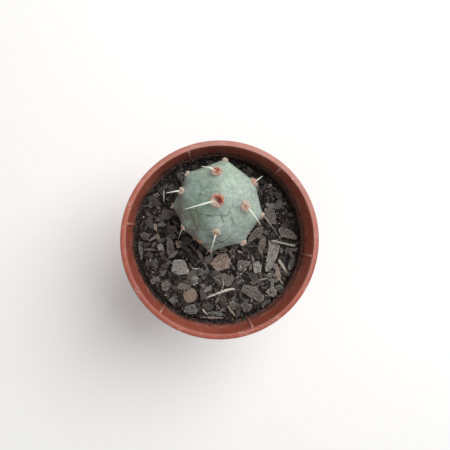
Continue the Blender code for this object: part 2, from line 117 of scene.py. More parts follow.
class Relief:
    """Repeatable smooth noise, read for many points at once."""

    PERIOD = 32

    def __init__(self, seed: int) -> None:
        """Fill the lattice that the noise runs smoothly between.

        Args:
            seed: Which noise this is.
        """
        draw = np.random.default_rng(seed)
        self.lattice = draw.uniform(-1, 1, (self.PERIOD,) * 3)

    def at(self, points: Array, size: float) -> Array:
        """One octave of the noise.

        Args:
            points: Places, one a row.
            size: Width of a lump, in the units of the points.

        Returns:
            A value from -1 to 1 for each point.
        """
        scaled = points / size
        cell = np.floor(scaled).astype(int)
        part = scaled - cell
        part = part * part * (3 - 2 * part)
        total = np.zeros(len(points))
        for corner in itertools.product((0, 1), repeat=3):
            index = (cell + corner) % self.PERIOD
            weight = np.where(corner, part, 1 - part).prod(axis=1)
            total += weight * self.lattice[index[:, 0], index[:, 1], index[:, 2]]
        return total

    def layers(self, points: Array, size: float, count: int, gain: float = 0.5) -> Array:
        """Several octaves, each half as wide as the one before.

        Args:
            points: Places, one a row.
            size: Width of the widest lumps.
            count: How many octaves.
            gain: Height of each octave against the one before.

        Returns:
            A value of about -1 to 1 for each point.
        """
        total = np.zeros(len(points))
        height = 1.0
        for octave in range(count):
            total += height * self.at(points + 7.3 * octave, size / 2**octave)
            height *= gain
        return total

    def ridges(self, points: Array, size: float, width: float) -> Array:
        """Thin winding lines where the noise passes through zero.

        Args:
            points: Places, one a row.
            size: Width of the meshes of the net of lines.
            width: Half width of a line, as noise height.

        Returns:
            1 on a line, falling to 0 beside it.
        """
        return np.clip(1 - np.abs(self.layers(points, size, 2)) / width, 0, 1)


def smooth(low: float, high: float, values: Array) -> Array:
    """Ease from 0 at low to 1 at high.

    Args:
        low: Where the result leaves 0.
        high: Where it reaches 1; may be below low.
        values: The values to ease.

    Returns:
        The eased values, 0 to 1.
    """
    share = np.clip((values - low) / (high - low), 0, 1)
    return share * share * (3 - 2 * share)


def unit(vectors: Array) -> Array:
    """Scale each row to length 1."""
    return vectors / np.maximum(np.linalg.norm(vectors, axis=-1, keepdims=True), 1e-12)


def corners_of(mesh: Mesh) -> Array:
    """The places of a mesh's corners, one a row."""
    flat = np.empty(len(mesh.vertices) * 3)
    mesh.vertices.foreach_get("co", flat)
    return flat.reshape(-1, 3)


def move_corners(mesh: Mesh, places: Array) -> None:
    """Put a mesh's corners at new places, one a row."""
    mesh.vertices.foreach_set("co", np.asarray(places, float).ravel())
    mesh.update()


def normals_of(mesh: Mesh) -> Array:
    """The outward direction at each corner of a mesh, one a row."""
    flat = np.empty(len(mesh.vertices) * 3, np.float32)
    mesh.vertex_normals.foreach_get("vector", flat)
    return flat.reshape(-1, 3).astype(float)


def baked(name: str, bm: bmesh.types.BMesh) -> Mesh:
    """Turn an edit mesh into a plain mesh and free it."""
    mesh = bpy.data.meshes.new(name)
    bm.to_mesh(mesh)
    bm.free()
    return mesh


def mesh_of(name: str, corners: Iterable, faces: Iterable) -> Mesh:
    """A mesh from its corners and faces, facing outwards.

    Args:
        name: Name of the mesh.
        corners: Places of the corners.
        faces: Corner numbers of each face.

    Returns:
        The mesh, with its normals recalculated.
    """
    mesh = bpy.data.meshes.new(name)
    mesh.from_pydata([tuple(corner) for corner in corners], [], [tuple(face) for face in faces])
    bm = bmesh.new()
    bm.from_mesh(mesh)
    bmesh.ops.recalc_face_normals(bm, faces=bm.faces)
    bm.to_mesh(mesh)
    bm.free()
    mesh.update()
    return mesh


def record_value(mesh: Mesh, name: str, values: Array) -> None:
    """Keep a number for each corner under a name that materials and trees read."""
    layer = mesh.attributes.get(name) or mesh.attributes.new(name, "FLOAT", "POINT")
    layer.data.foreach_set("value", np.asarray(values, np.float32))


def record_values(mesh: Mesh, **layers: Array) -> None:
    """Keep several numbers for each corner, each under its own name."""
    for name, values in layers.items():
        record_value(mesh, name, values)


def record_place(mesh: Mesh, places: Array) -> None:
    """Keep a place for each corner, in the piece's own axes and millimetres."""
    layer = mesh.attributes.get("own_place") or mesh.attributes.new("own_place", "FLOAT_VECTOR", "POINT")
    layer.data.foreach_set("vector", np.asarray(places, np.float32).ravel())


def edge_pairs(mesh: Mesh) -> Array:
    """The two corner numbers of each edge of a mesh, one edge a row."""
    pairs = np.empty(len(mesh.edges) * 2, int)
    mesh.edges.foreach_get("vertices", pairs)
    return pairs.reshape(-1, 2)


def neighbour_mean(mesh: Mesh, values: Array, rounds: int = 1) -> Array:
    """Average a value for each corner with its neighbours.

    Args:
        mesh: The mesh.
        values: A number or a row of numbers for each corner.
        rounds: How often to repeat it.

    Returns:
        The averaged values.
    """
    pairs = edge_pairs(mesh)
    count = np.zeros(len(mesh.vertices))
    np.add.at(count, pairs.ravel(), 1)
    count = np.maximum(count, 1)
    result = np.array(values, float)
    for _ in range(rounds):
        total = np.zeros_like(result)
        np.add.at(total, pairs[:, 0], result[pairs[:, 1]])
        np.add.at(total, pairs[:, 1], result[pairs[:, 0]])
        result = total / (count if result.ndim == 1 else count[:, None])
    return result


def record_edges(mesh: Mesh, reach: float) -> None:
    """Keep how far each corner stands out as "edge": 1 on a sharp edge, 0 on the flat and in a dent.

    Args:
        mesh: The mesh.
        reach: How far a corner stands out beyond its neighbours where the value is 1.
    """
    places = corners_of(mesh)
    around = neighbour_mean(mesh, places, 3)
    proud = ((places - around) * normals_of(mesh)).sum(axis=1)
    record_value(mesh, "edge", np.clip(neighbour_mean(mesh, proud, 1) / reach, 0, 1))


def finished_mesh(piece: Object) -> Mesh:
    """The mesh that an object's modifiers make of it, with its attributes."""
    graph = bpy.context.evaluated_depsgraph_get()
    return bpy.data.meshes.new_from_object(
        piece.evaluated_get(graph), preserve_all_data_layers=True, depsgraph=graph
    )


def helper(name: str, mesh: Mesh) -> Object:
    """Put a mesh in the scene for a step of its making."""
    piece = bpy.data.objects.new(name, mesh)
    bpy.context.scene.collection.objects.link(piece)
    return piece


def worked(name: str, mesh: Mesh, steps: Sequence[tuple[str, dict]]) -> Mesh:
    """Run a mesh through modifiers and keep the result as a plain mesh.

    Args:
        name: Name of the new mesh.
        mesh: The mesh to work on.
        steps: Kind and settings of each modifier, in order.

    Returns:
        The new mesh.
    """
    piece = helper(name, mesh)
    for kind, settings in steps:
        modifier = piece.modifiers.new(kind.title(), kind)
        for key, value in settings.items():
            setattr(modifier, key, value)
    made = finished_mesh(piece)
    bpy.data.objects.remove(piece)
    made.name = name
    return made


def in_cells(name: str, mesh: Mesh, cell: float) -> Mesh:
    """Rebuild a closed mesh as an even skin of small cells, ready for relief.

    Args:
        name: Name of the new mesh.
        mesh: The closed mesh.
        cell: Width of a cell in millimetres.

    Returns:
        The new mesh.
    """
    return worked(name, mesh, [("REMESH", {"mode": "VOXEL", "voxel_size": cell})])


def cad_mesh(node: str) -> Mesh:
    """A merged copy of a CAD node's mesh in millimetres."""
    bm = bmesh.new()
    bm.from_mesh(frame["nodes"][node].data)
    bmesh.ops.remove_doubles(bm, verts=bm.verts, dist=0.002 * MM)
    bmesh.ops.scale(bm, vec=(PER_MM,) * 3, verts=bm.verts)
    return baked(f"{node}_copy", bm)


def cad_middle(node: str) -> Array:
    """The middle of a CAD node's box in millimetres."""
    low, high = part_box(node)
    return (np.array(low) + np.array(high)) / 2 * PER_MM


def caster(meshes: Iterable[Mesh]) -> BVHTree:
    """A tree for casting rays at several meshes at once."""
    corners = []
    faces = []
    for mesh in meshes:
        first = len(corners)
        corners.extend(vertex.co.copy() for vertex in mesh.vertices)
        faces.extend(tuple(first + index for index in face.vertices) for face in mesh.polygons)
    return BVHTree.FromPolygons(corners, faces)


def rod(name: str, points: Array, radii: Array, sides: int) -> Mesh:
    """A closed round rod through points, with an own place and a share along it kept on it.

    Args:
        name: Name of the mesh.
        points: Middle line, one point a row, in millimetres.
        radii: Radius at each point.
        sides: How many corners each ring has.

    Returns:
        The mesh.
    """
    points = np.asarray(points, float)
    along = unit(np.gradient(points, axis=0))
    side = unit(np.cross(along[0], UP if abs(along[0][2]) < 0.9 else np.array([1.0, 0, 0])))
    turns = np.linspace(0, 2 * math.pi, sides, endpoint=False)
    reach = np.concatenate([[0], np.cumsum(np.linalg.norm(np.diff(points, axis=0), axis=1))])
    corners = [points[0]]
    own = [(0, 0, 0)]
    for point, way, radius, length in zip(points, along, radii, reach):
        side = unit(side - way * side.dot(way))
        over = np.cross(way, side)
        for turn in turns:
            offset = side * math.cos(turn) + over * math.sin(turn)
            corners.append(point + offset * radius)
            own.append((length, math.cos(turn) * radius, math.sin(turn) * radius))
    corners.append(points[-1])
    own.append((reach[-1], 0, 0))
    faces = [(0, 1 + (step + 1) % sides, 1 + step) for step in range(sides)]
    for ring, step in itertools.product(range(len(points) - 1), range(sides)):
        here = 1 + ring * sides + step
        beside = 1 + ring * sides + (step + 1) % sides
        faces.append((here, beside, beside + sides, here + sides))
    last = 1 + (len(points) - 1) * sides
    faces += [(last + sides, last + step, last + (step + 1) % sides) for step in range(sides)]
    mesh = mesh_of(name, corners, faces)
    record_place(mesh, np.array(own))
    record_value(mesh, "along", np.array(own)[:, 0] / max(reach[-1], 1e-9))
    return mesh


def splinter(name: str, size: Sequence[float], seed: int, cuts: int, slant: float = 0.45) -> Mesh:
    """A small flat angular flake: a block whose corners are cut off by slanting planes.

    Args:
        name: Name of the mesh.
        size: Length, width and thickness.
        seed: Which flake this is.
        cuts: How many planes cut it.
        slant: How far the cut faces may lean.

    Returns:
        The closed mesh, with its own places kept on it.
    """
    draw = random.Random(seed)
    bm = bmesh.new()
    bmesh.ops.create_cube(bm, size=1)
    bmesh.ops.scale(bm, vec=size, verts=bm.verts)
    planes = []
    for cut in range(cuts):
        bearing = 2 * math.pi * (cut + draw.uniform(-0.4, 0.4)) / cuts
        reach = draw.uniform(0.68, 1.02) / 2
        point = Vector((math.cos(bearing) * size[0] * reach, math.sin(bearing) * size[1] * reach, 0))
        planes.append((point, Vector((math.cos(bearing), math.sin(bearing), draw.uniform(-slant, slant)))))
    for sign in (1, -1):
        lean = Vector((draw.uniform(-0.18, 0.18), draw.uniform(-0.3, 0.3), sign))
        planes.append((Vector((0, 0, sign * size[2] * draw.uniform(0.32, 0.45))), lean))
    for point, normal in planes:
        geometry = bm.verts[:] + bm.edges[:] + bm.faces[:]
        bmesh.ops.bisect_plane(bm, geom=geometry, plane_co=point, plane_no=normal, clear_outer=True)
        open_edges = [edge for edge in bm.edges if edge.is_boundary]
        if open_edges:
            bmesh.ops.holes_fill(bm, edges=open_edges)
    bmesh.ops.remove_doubles(bm, verts=bm.verts, dist=0.03 * min(size))
    bmesh.ops.recalc_face_normals(bm, faces=bm.faces)
    mesh = baked(name, bm)
    record_place(mesh, corners_of(mesh))
    return mesh


def flake(name: str, outline: Sequence, thickness: float, heading: float, seed: int) -> Mesh:
    """A flat angular flake over an outline, widest above its middle, with its long way along X.

    Args:
        name: Name of the mesh.
        outline: Corners of its plan.
        thickness: Its thickness.
        heading: Bearing of its long way in the plan, in degrees.
        seed: Which flake this is.

    Returns:
        The closed mesh, about its own middle.
    """
    draw = np.random.default_rng(seed)
    flat = np.array(outline) - np.mean(outline, axis=0)
    turn = math.radians(-heading)
    flat = flat @ np.array([[math.cos(turn), math.sin(turn)], [-math.sin(turn), math.cos(turn)]])
    count = len(flat)
    lean = draw.uniform(-0.12, 0.12, 2)
    rings = []
    for level, share in ((-0.5, 0.84), (0.1, 1.0), (0.5, 0.92)):
        spread = flat * (share + draw.uniform(-0.05, 0.05, (count, 1)) * (share < 1))
        rings.append(np.column_stack([spread, thickness * level + (spread @ lean) * (level == 0.5)]))
    faces = [tuple(range(count)), tuple(range(2 * count, 3 * count))]
    for low, here in itertools.product((0, count), range(count)):
        beside = (here + 1) % count
        faces.append((low + here, low + beside, low + count + beside, low + count + here))
    return mesh_of(name, np.vstack(rings), faces)


def joined(name: str, meshes: Sequence[Mesh]) -> Mesh:
    """One mesh of several, each with its own materials and attributes.

    Args:
        name: Name of the new mesh.
        meshes: The meshes to join.

    Returns:
        The new mesh.
    """
    pieces = [helper(f"{name}_{index}", mesh) for index, mesh in enumerate(meshes)]
    with bpy.context.temp_override(
        active_object=pieces[0], object=pieces[0], selected_editable_objects=pieces, selected_objects=pieces
    ):
        bpy.ops.object.join()
    mesh = pieces[0].data
    bpy.data.objects.remove(pieces[0])
    mesh.name = name
    return mesh


def shade(mesh: Mesh, crease: float) -> None:
    """Shade a mesh smooth, except across edges sharper than a crease angle in degrees."""
    mesh.shade_smooth()
    mesh.set_sharp_from_angle(angle=math.radians(crease))


def show(name: str, mesh: Mesh, slot: str, replaced: Sequence[str] = ()) -> Object:
    """Finish a piece: turn it to metres, put it on the body, hide the CAD nodes that it stands for and log
    it.

    Args:
        name: Name of the piece.
        mesh: Its mesh in millimetres, with its materials.
        slot: The record's material slot, only written to the log.
        replaced: The CAD nodes that it stands for.

    Returns:
        The finished piece.
    """
    mesh.transform(Matrix.Scale(MM, 4))
    mesh.update()
    piece = helper(name, mesh)
    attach(piece, BODY)
    if replaced:
        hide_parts(*replaced)
    LOG.info("%s: %d corners, %d faces, slot %s", name, len(mesh.vertices), len(mesh.polygons), slot)
    return piece


class Wiring:
    """Adds nodes to a tree and joins them."""

    def __init__(self, tree: bpy.types.NodeTree) -> None:
        """Start with an empty tree."""
        self.tree = tree
        tree.nodes.clear()

    def feed(self, socket: Socket, value: object) -> None:
        """Join an output to an input, or set the input's own value."""
        if isinstance(value, bpy.types.NodeSocket):
            self.tree.links.new(value, socket)
        elif value is not None:
            if socket.type == "RGBA" and len(value) == 3:
                value = (*value, 1)
            socket.default_value = value

    def add(self, kind: str, inputs: dict | None = None, **settings: object) -> Node:
        """Add a node.

        Args:
            kind: The node's type name.
            inputs: Values or outputs for its inputs, by name or number.
            settings: Values for its own settings.

        Returns:
            The node.
        """
        node = self.tree.nodes.new(kind)
        for key, value in settings.items():
            setattr(node, key, value)
        for key, value in (inputs or {}).items():
            self.feed(node.inputs[key], value)
        return node

    def math(self, operation: str, *values: object) -> Socket:
        """The result of a sum on numbers, held to 0 to 1 where its name starts with CLAMP_."""
        clamped = operation.startswith("CLAMP_")
        node = self.add("ShaderNodeMath", operation=operation.removeprefix("CLAMP_"), use_clamp=clamped)
        for socket, value in zip(node.inputs, values):
            self.feed(socket, value)
        return node.outputs[0]

    def times(self, first: object, second: object) -> Socket:
        """The product of two numbers."""
        return self.math("MULTIPLY", first, second)

    def vector(self, operation: str, *values: object, scale: object = None) -> Socket:
        """The result of a sum on vectors."""
        node = self.add("ShaderNodeVectorMath", operation=operation)
        for socket, value in zip(node.inputs, values):
            self.feed(socket, value)
        if scale is not None:
            self.feed(node.inputs[3], scale)
        return node.outputs[0]

    def mix(self, share: object, first: object, second: object, way: str = "MIX") -> Socket:
        """A mix of two colours.

        Args:
            share: How much of the second colour, 0 to 1.
            first: The colour underneath.
            second: The colour on top.
            way: Blend type.

        Returns:
            The mixed colour.
        """
        node = self.add("ShaderNodeMix", data_type="RGBA", blend_type=way)
        for index, value in ((0, share), (6, first), (7, second)):
            self.feed(node.inputs[index], value)
        return node.outputs[2]

    def span(
        self, value: Socket, low: object, high: object, first: object = 0.0, last: object = 1.0
    ) -> Socket:
        """Map a value from low..high to first..last, and hold it there."""
        inputs = {"Value": value, "From Min": low, "From Max": high, "To Min": first, "To Max": last}
        return self.add("ShaderNodeMapRange", inputs, clamp=True).outputs[0]

    def noise(self, place: Socket, size: object, detail: float = 2.0, warp: float = 0.0) -> Socket:
        """Noise from 0 to 1 with lumps of a size in millimetres."""
        scale = self.math("DIVIDE", 1.0, size) if isinstance(size, bpy.types.NodeSocket) else 1 / size
        inputs = {"Vector": place, "Scale": scale, "Detail": detail, "Distortion": warp}
        return self.add("ShaderNodeTexNoise", inputs).outputs[0]

    def ramp(self, value: Socket, stops: Sequence[tuple[float, Colour]]) -> Socket:
        """Colours along a value, each from its stop on."""
        node = self.add("ShaderNodeValToRGB", {"Fac": value})
        elements = node.color_ramp.elements
        for _ in range(len(stops) - 2):
            elements.new(0.5)
        for element, (position, _) in zip(elements, stops):
            element.position = position
        for element, (_, colour) in zip(elements, stops):
            element.color = (*colour, 1)
        return node.outputs[0]

    def kept(self, name: str, output: str = "Fac") -> Socket:
        """A value kept on the mesh under a name."""
        return self.add("ShaderNodeAttribute", attribute_type="GEOMETRY", attribute_name=name).outputs[output]

    def ragged(
        self, name: str, place: Socket, lumps: tuple[float, ...], low: float, high: float, least: float = 0.0
    ) -> Socket:
        """A kept value broken up by noise.

        Args:
            name: Name that the value is kept under.
            place: Where the noise is read.
            lumps: The noise's size, detail and warp.
            low: Noise where the value is at its least.
            high: Noise from which the value is whole.
            least: Least share of the value that stays.

        Returns:
            The broken value.
        """
        return self.times(self.kept(name), self.span(self.noise(place, *lumps), low, high, least))

    def shaken(self, name: str, noise: Socket, reach: float) -> Socket:
        """A kept value shifted up and down by noise, as far as a reach."""
        return self.math("ADD", self.kept(name), self.span(noise, 0.0, 1.0, -reach, reach))

    def coat(self, mask: Socket, amount: float, below: object, over: object) -> Socket:
        """A colour laid over another, where a mask is and as strongly as an amount says."""
        return self.mix(self.times(mask, amount), below, over)

    def place(self) -> Socket:
        """The place on the object in millimetres."""
        return self.vector("SCALE", self.add("ShaderNodeTexCoord").outputs["Object"], scale=float(PER_MM))

    def bump(self, height: Socket, depth: float, below: Socket | None = None) -> Socket:
        """A normal bent by a height whose full range is a depth in millimetres."""
        inputs = {"Height": height, "Distance": depth * MM, "Strength": 1.0, "Normal": below}
        return self.add("ShaderNodeBump", inputs).outputs[0]

    def use(self, effect: Callable[[], bpy.types.NodeTree], *values: object) -> bpy.types.NodeOutputs:
        """The outputs of a shared effect, placed with values for its inputs in order."""
        node = self.add("ShaderNodeGroup", node_tree=effect())
        for socket, value in zip(node.inputs, values):
            self.feed(socket, value)
        return node.outputs


class Surface(Wiring):
    """The node tree of one material, with its shader ready."""

    def __init__(self, name: str) -> None:
        """Make the material and its shader.

        Args:
            name: Name of the material.
        """
        self.material = bpy.data.materials.new(name)
        self.material.use_nodes = True
        super().__init__(self.material.node_tree)
        self.shader = self.add("ShaderNodeBsdfPrincipled")
        self.add("ShaderNodeOutputMaterial", {"Surface": self.shader.outputs[0]})

    def finish(
        self, colour: object, rough: object, gloss: float, normal: Socket | None = None, **more: object
    ) -> Material:
        """Feed the shader.

        Args:
            colour: Its base colour.
            rough: Its roughness.
            gloss: Its specular level.
            normal: Its bent normal.
            more: Its other inputs, with spaces in their names written as underscores.

        Returns:
            The material.
        """
        usual = {"Base Color": colour, "Roughness": rough, "Specular IOR Level": gloss, "Normal": normal}
        for key, value in (usual | more).items():
            self.feed(self.shader.inputs[key.replace("_", " ")], value)
        return self.material


class Effects:
    """Shader node groups that several finishes share, each built once."""

    _built: dict[str, bpy.types.NodeTree] = {}

    @classmethod
    def group(
        cls, name: str, third: str, outputs: Sequence[str],
        build: Callable[[Wiring, bpy.types.NodeOutputs], dict[str, Socket]],
    ) -> bpy.types.NodeTree:
        """Build a group that takes a place, a size and one more number, once.

        Args:
            name: Name of the group.
            third: Name of its third input.
            outputs: Names of the outputs, all numbers.
            build: Wires the group and returns what feeds each output.

        Returns:
            The group.
        """
        if name in cls._built:
            return cls._built[name]
        tree = bpy.data.node_groups.new(name, "ShaderNodeTree")
        for label, kind in (("Place", "Vector"), ("Size", "Float"), (third, "Float")):
            tree.interface.new_socket(name=label, in_out="INPUT", socket_type=f"NodeSocket{kind}")
        for label in outputs:
            tree.interface.new_socket(name=label, in_out="OUTPUT", socket_type="NodeSocketFloat")
        wiring = Wiring(tree)
        entry = wiring.add("NodeGroupInput").outputs
        wiring.add("NodeGroupOutput", build(wiring, entry))
        cls._built[name] = tree
        return tree

    @classmethod
    def mottle(cls) -> bpy.types.NodeTree:
        """Soft patches in two sizes. Contrast 0 is flat."""

        def build(wiring: Wiring, entry: bpy.types.NodeOutputs) -> dict[str, Socket]:
            """Wire the group."""
            broad = wiring.noise(entry["Place"], entry["Size"], 3.0, 0.6)
            small_size = wiring.times(entry["Size"], 0.23)
            small = wiring.noise(entry["Place"], small_size, 3.0, 0.3)
            both = wiring.math("ADD", wiring.times(broad, 0.62), wiring.times(small, 0.38))
            centred = wiring.times(wiring.math("SUBTRACT", both, 0.5), entry["Contrast"])
            return {"Mask": wiring.math("CLAMP_ADD", centred, 0.5)}

        return cls.group("soft mottle", "Contrast", ["Mask"], build)

    @classmethod
    def grain(cls) -> bpy.types.NodeTree:
        """Long grain along the place's X: a soft mask, and thin dark lines."""

        def build(wiring: Wiring, entry: bpy.types.NodeOutputs) -> dict[str, Socket]:
            """Wire the group."""
            squeeze = wiring.math("DIVIDE", 1.0, entry["Stretch"])
            ways = wiring.add("ShaderNodeCombineXYZ", {"X": squeeze, "Y": 1.0, "Z": 1.0})
            drawn = wiring.vector("MULTIPLY", entry["Place"], ways.outputs[0])
            soft = wiring.noise(drawn, entry["Size"], 4.0, 0.4)
            line_size = wiring.times(entry["Size"], 0.7)
            shifted = wiring.vector("ADD", drawn, (5.1, 2.7, 8.3))
            line = wiring.math(
                "ABSOLUTE", wiring.math("SUBTRACT", wiring.noise(shifted, line_size, 2.0, 0.8), 0.5)
            )
            return {"Mask": wiring.span(soft, 0.32, 0.68), "Lines": wiring.span(line, 0.0, 0.035, 1.0, 0.0)}

        return cls.group("long grain", "Stretch", ["Mask", "Lines"], build)

    @classmethod
    def specks(cls) -> bpy.types.NodeTree:
        """Small separate spots on a share of the cells of a net."""

        def build(wiring: Wiring, entry: bpy.types.NodeOutputs) -> dict[str, Socket]:
            """Wire the group."""
            scale = wiring.math("DIVIDE", 1.0, entry["Size"])
            bent = wiring.add(
                "ShaderNodeTexNoise",
                {"Vector": entry["Place"], "Scale": wiring.times(scale, 1.7)},
            )
            push = wiring.vector(
                "SCALE", bent.outputs["Color"], scale=wiring.times(entry["Size"], 0.55)
            )
            place = wiring.vector("ADD", entry["Place"], push)
            cells = wiring.add("ShaderNodeTexVoronoi", {"Vector": place, "Scale": scale})
            pick = wiring.add("ShaderNodeSeparateColor", {0: cells.outputs["Color"]})
            chosen = wiring.math("LESS_THAN", pick.outputs[0], entry["Share"])
            radius = wiring.times(wiring.math("ADD", pick.outputs[1], 0.35), 0.3)
            spot = wiring.math("SUBTRACT", radius, cells.outputs["Distance"])
            return {"Mask": wiring.times(wiring.span(spot, 0.0, 0.1), chosen)}

        return cls.group("small specks", "Share", ["Mask"], build)

    @classmethod
    def dust(cls) -> bpy.types.NodeTree:
        """Fine dust that lies on what faces up, in patches."""

        def build(wiring: Wiring, entry: bpy.types.NodeOutputs) -> dict[str, Socket]:
            """Wire the group."""
            normal = wiring.add("ShaderNodeNewGeometry").outputs["Normal"]
            upward = wiring.span(wiring.add("ShaderNodeSeparateXYZ", {0: normal}).outputs[2], 0.1, 0.95)
            patches = wiring.span(
                wiring.noise(entry["Place"], entry["Size"], 5.0, 0.5), 0.38, 0.66
            )
            fine = wiring.span(wiring.noise(entry["Place"], 0.16, 2.0), 0.35, 0.7, 0.35, 1.0)
            lying = wiring.times(wiring.times(upward, patches), fine)
            return {"Mask": wiring.math("CLAMP_MULTIPLY", lying, entry["Amount"])}

        return cls.group("lying dust", "Amount", ["Mask"], build)

    @classmethod
    def wear(cls) -> bpy.types.NodeTree:
        """Rubbed edges, which on bark also stand as painted highlights: the kept edge value, broken up by
        noise.
        """

        def build(wiring: Wiring, entry: bpy.types.NodeOutputs) -> dict[str, Socket]:
            """Wire the group."""
            rough = wiring.span(
                wiring.noise(entry["Place"], entry["Size"], 4.0, 0.4), 0.3, 0.7
            )
            edge = wiring.times(wiring.kept("edge"), wiring.math("ADD", rough, 0.35))
            return {"Mask": wiring.math("CLAMP_MULTIPLY", edge, entry["Amount"])}

        return cls.group("edge rub and glint", "Amount", ["Mask"], build)


@dataclass(frozen=True)
class TerracottaPlastic:
    """Moulded plastic of the pot: red-brown, bleached and scuffed at the rim, splashed inside, with a painted
    highlight on the rim's lit side and on the rib edges.
    """

    body: Colour = tint(171, 82, 58)
    deep: Colour = tint(142, 62, 44)
    # Pale plastic, both for bleaching and for the painted highlight.
    faded: Colour = tint(200, 153, 143)
    scuff: Colour = tint(222, 188, 176)
    lime: Colour = tint(190, 158, 142)
    soil: Colour = tint(50, 38, 33)

    def dress(self) -> Material:
        """Build the material."""
        tree = Surface("terracotta_plastic")
        place = tree.place()
        wrap = tree.kept("own_place", "Vector")
        patches = tree.use(Effects.mottle, place, 11.0, 2.6)[0]
        colour = tree.mix(patches, self.deep, self.body)
        # Paler where the plastic is bleached, plus painted highlight on the rim's lit side and on the rib
        # edges.
        patchy_fade_and_highlight = tree.use(Effects.mottle, wrap, 5.0, 2.0)[0]
        fade = tree.times(tree.kept("fade"), tree.span(patchy_fade_and_highlight, 0.0, 1.0, 0.62, 1.0))
        colour = tree.mix(fade, colour, self.faded)
        scratch = tree.use(Effects.grain, wrap, 0.5, 14.0)["Lines"]
        cross = tree.use(Effects.grain, tree.vector("ADD", place, (3.0, 9.0, 1.0)), 2.2, 5.0)
        marks = tree.math("MAXIMUM", scratch, tree.times(cross["Lines"], 0.8))
        where = tree.span(tree.noise(place, 4.5, 3.0), 0.5, 0.68)
        marks = tree.times(tree.times(marks, where), tree.kept("touched"))
        colour = tree.coat(marks, 0.55, colour, self.scuff)
        specks = tree.use(Effects.specks, place, 1.1, 0.07)[0]
        grit = tree.use(Effects.specks, place, 0.45, 0.08)[0]
        pale = tree.times(tree.math("MAXIMUM", specks, grit), tree.kept("touched"))
        colour = tree.coat(pale, 0.6, colour, self.scuff)
        tide = tree.ragged("tide", wrap, (1.6, 5.0, 0.7), 0.42, 0.62)
        colour = tree.coat(tide, 0.45, colour, self.lime)
        spots = tree.use(Effects.specks, tree.vector("ADD", place, (1.7, 4.2, 6.6)), 0.9, 0.5)[0]
        splash = tree.times(spots, tree.kept("splash"))
        smear = tree.times(tree.span(tree.noise(wrap, 2.1, 4.0, 0.5), 0.34, 0.58), tree.kept("splash"))
        dirt = tree.math("CLAMP_ADD", splash, tree.times(smear, 0.7))
        dirt = tree.math("MAXIMUM", dirt, tree.span(tree.kept("splash"), 0.9, 1.0))
        colour = tree.coat(dirt, 0.88, colour, self.soil)
        # Pale rubbed edges, partly painted highlight; the pot keeps an edge value of 0, so nothing shows
        # here.
        worn_and_glinting = tree.use(Effects.wear, place, 0.8, 0.5)[0]
        colour = tree.mix(worn_and_glinting, colour, self.scuff)
        fine = tree.noise(place, 0.22, 2.0)
        waves = tree.noise(wrap, 3.5, 2.0)
        height = tree.math("ADD", tree.times(fine, 0.35), waves)
        height = tree.math("SUBTRACT", height, tree.times(marks, 0.5))
        rough = tree.span(tree.math("ADD", patches, tree.math("ADD", fade, dirt)), 0.0, 2.0, 0.34, 0.62)
        return tree.finish(colour, rough, 0.42, tree.bump(height, 0.05))


@dataclass(frozen=True)
class DampMix:
    """Peat and fine bark: nearly black, with brown and grey crumbs."""

    black: Colour = tint(17, 14, 13)
    brown: Colour = tint(42, 34, 30)
    grey: Colour = tint(74, 69, 65)

    def dress(self) -> Material:
        """Build the material."""
        tree = Surface("potting_mix")
        place = tree.place()
        crumbs = tree.use(Effects.mottle, place, 1.3, 4.5)[0]
        colour = tree.mix(crumbs, self.black, self.brown)
        fibre = tree.use(Effects.grain, place, 0.8, 3.0)["Lines"]
        colour = tree.coat(fibre, 0.5, colour, self.grey)
        bits = tree.use(Effects.specks, place, 0.6, 0.25)[0]
        colour = tree.coat(bits, 0.7, colour, self.grey)
        height = tree.math("ADD", crumbs, tree.noise(place, 0.25, 4.0))
        rough = tree.span(crumbs, 0.0, 1.0, 0.8, 0.97)
        return tree.finish(colour, rough, 0.3, tree.bump(height, 0.22))


@dataclass(frozen=True)
class Crumbs:
    """Loose crumbs and bits, each with a tone of its own along a row of colours."""

    name: str
    tones: tuple[Colour, ...]
    roughness: float = 0.9
    bump: float = 0.08

    def dress(self) -> Material:
        """Build the material."""
        tree = Surface(self.name)
        place = tree.place()
        tone = tree.kept("tone")
        last = len(self.tones) - 1
        colour = tree.ramp(tone, [(index / last, colour) for index, colour in enumerate(self.tones)])
        away = tree.vector("SCALE", (17.0, 31.0, 47.0), scale=tone)
        shift = tree.vector("ADD", tree.kept("own_place", "Vector"), away)
        grain = tree.use(Effects.grain, shift, 0.3, 3.5)
        darker = tree.mix(1.0, colour, (0.35, 0.33, 0.31), "MULTIPLY")
        colour = tree.coat(grain["Mask"], 0.55, colour, darker)
        # Painted shade: the sides of each crumb are darker than its top.
        normal = tree.add("ShaderNodeNewGeometry").outputs["Normal"]
        upward = tree.span(tree.add("ShaderNodeSeparateXYZ", {0: normal}).outputs[2], 0.2, 0.9)
        colour = tree.mix(upward, tree.mix(1.0, colour, (0.45, 0.42, 0.4), "MULTIPLY"), colour)
        dust = tree.use(Effects.dust, place, 1.1, 0.6)[0]
        colour = tree.coat(dust, 0.3, colour, tint(168, 162, 156))
        height = tree.math("ADD", grain["Mask"], tree.noise(place, 0.12, 2.0))
        rough = tree.span(grain["Mask"], 0.0, 1.0, self.roughness - 0.12, self.roughness)
        return tree.finish(colour, rough, 0.35, tree.bump(height, self.bump))


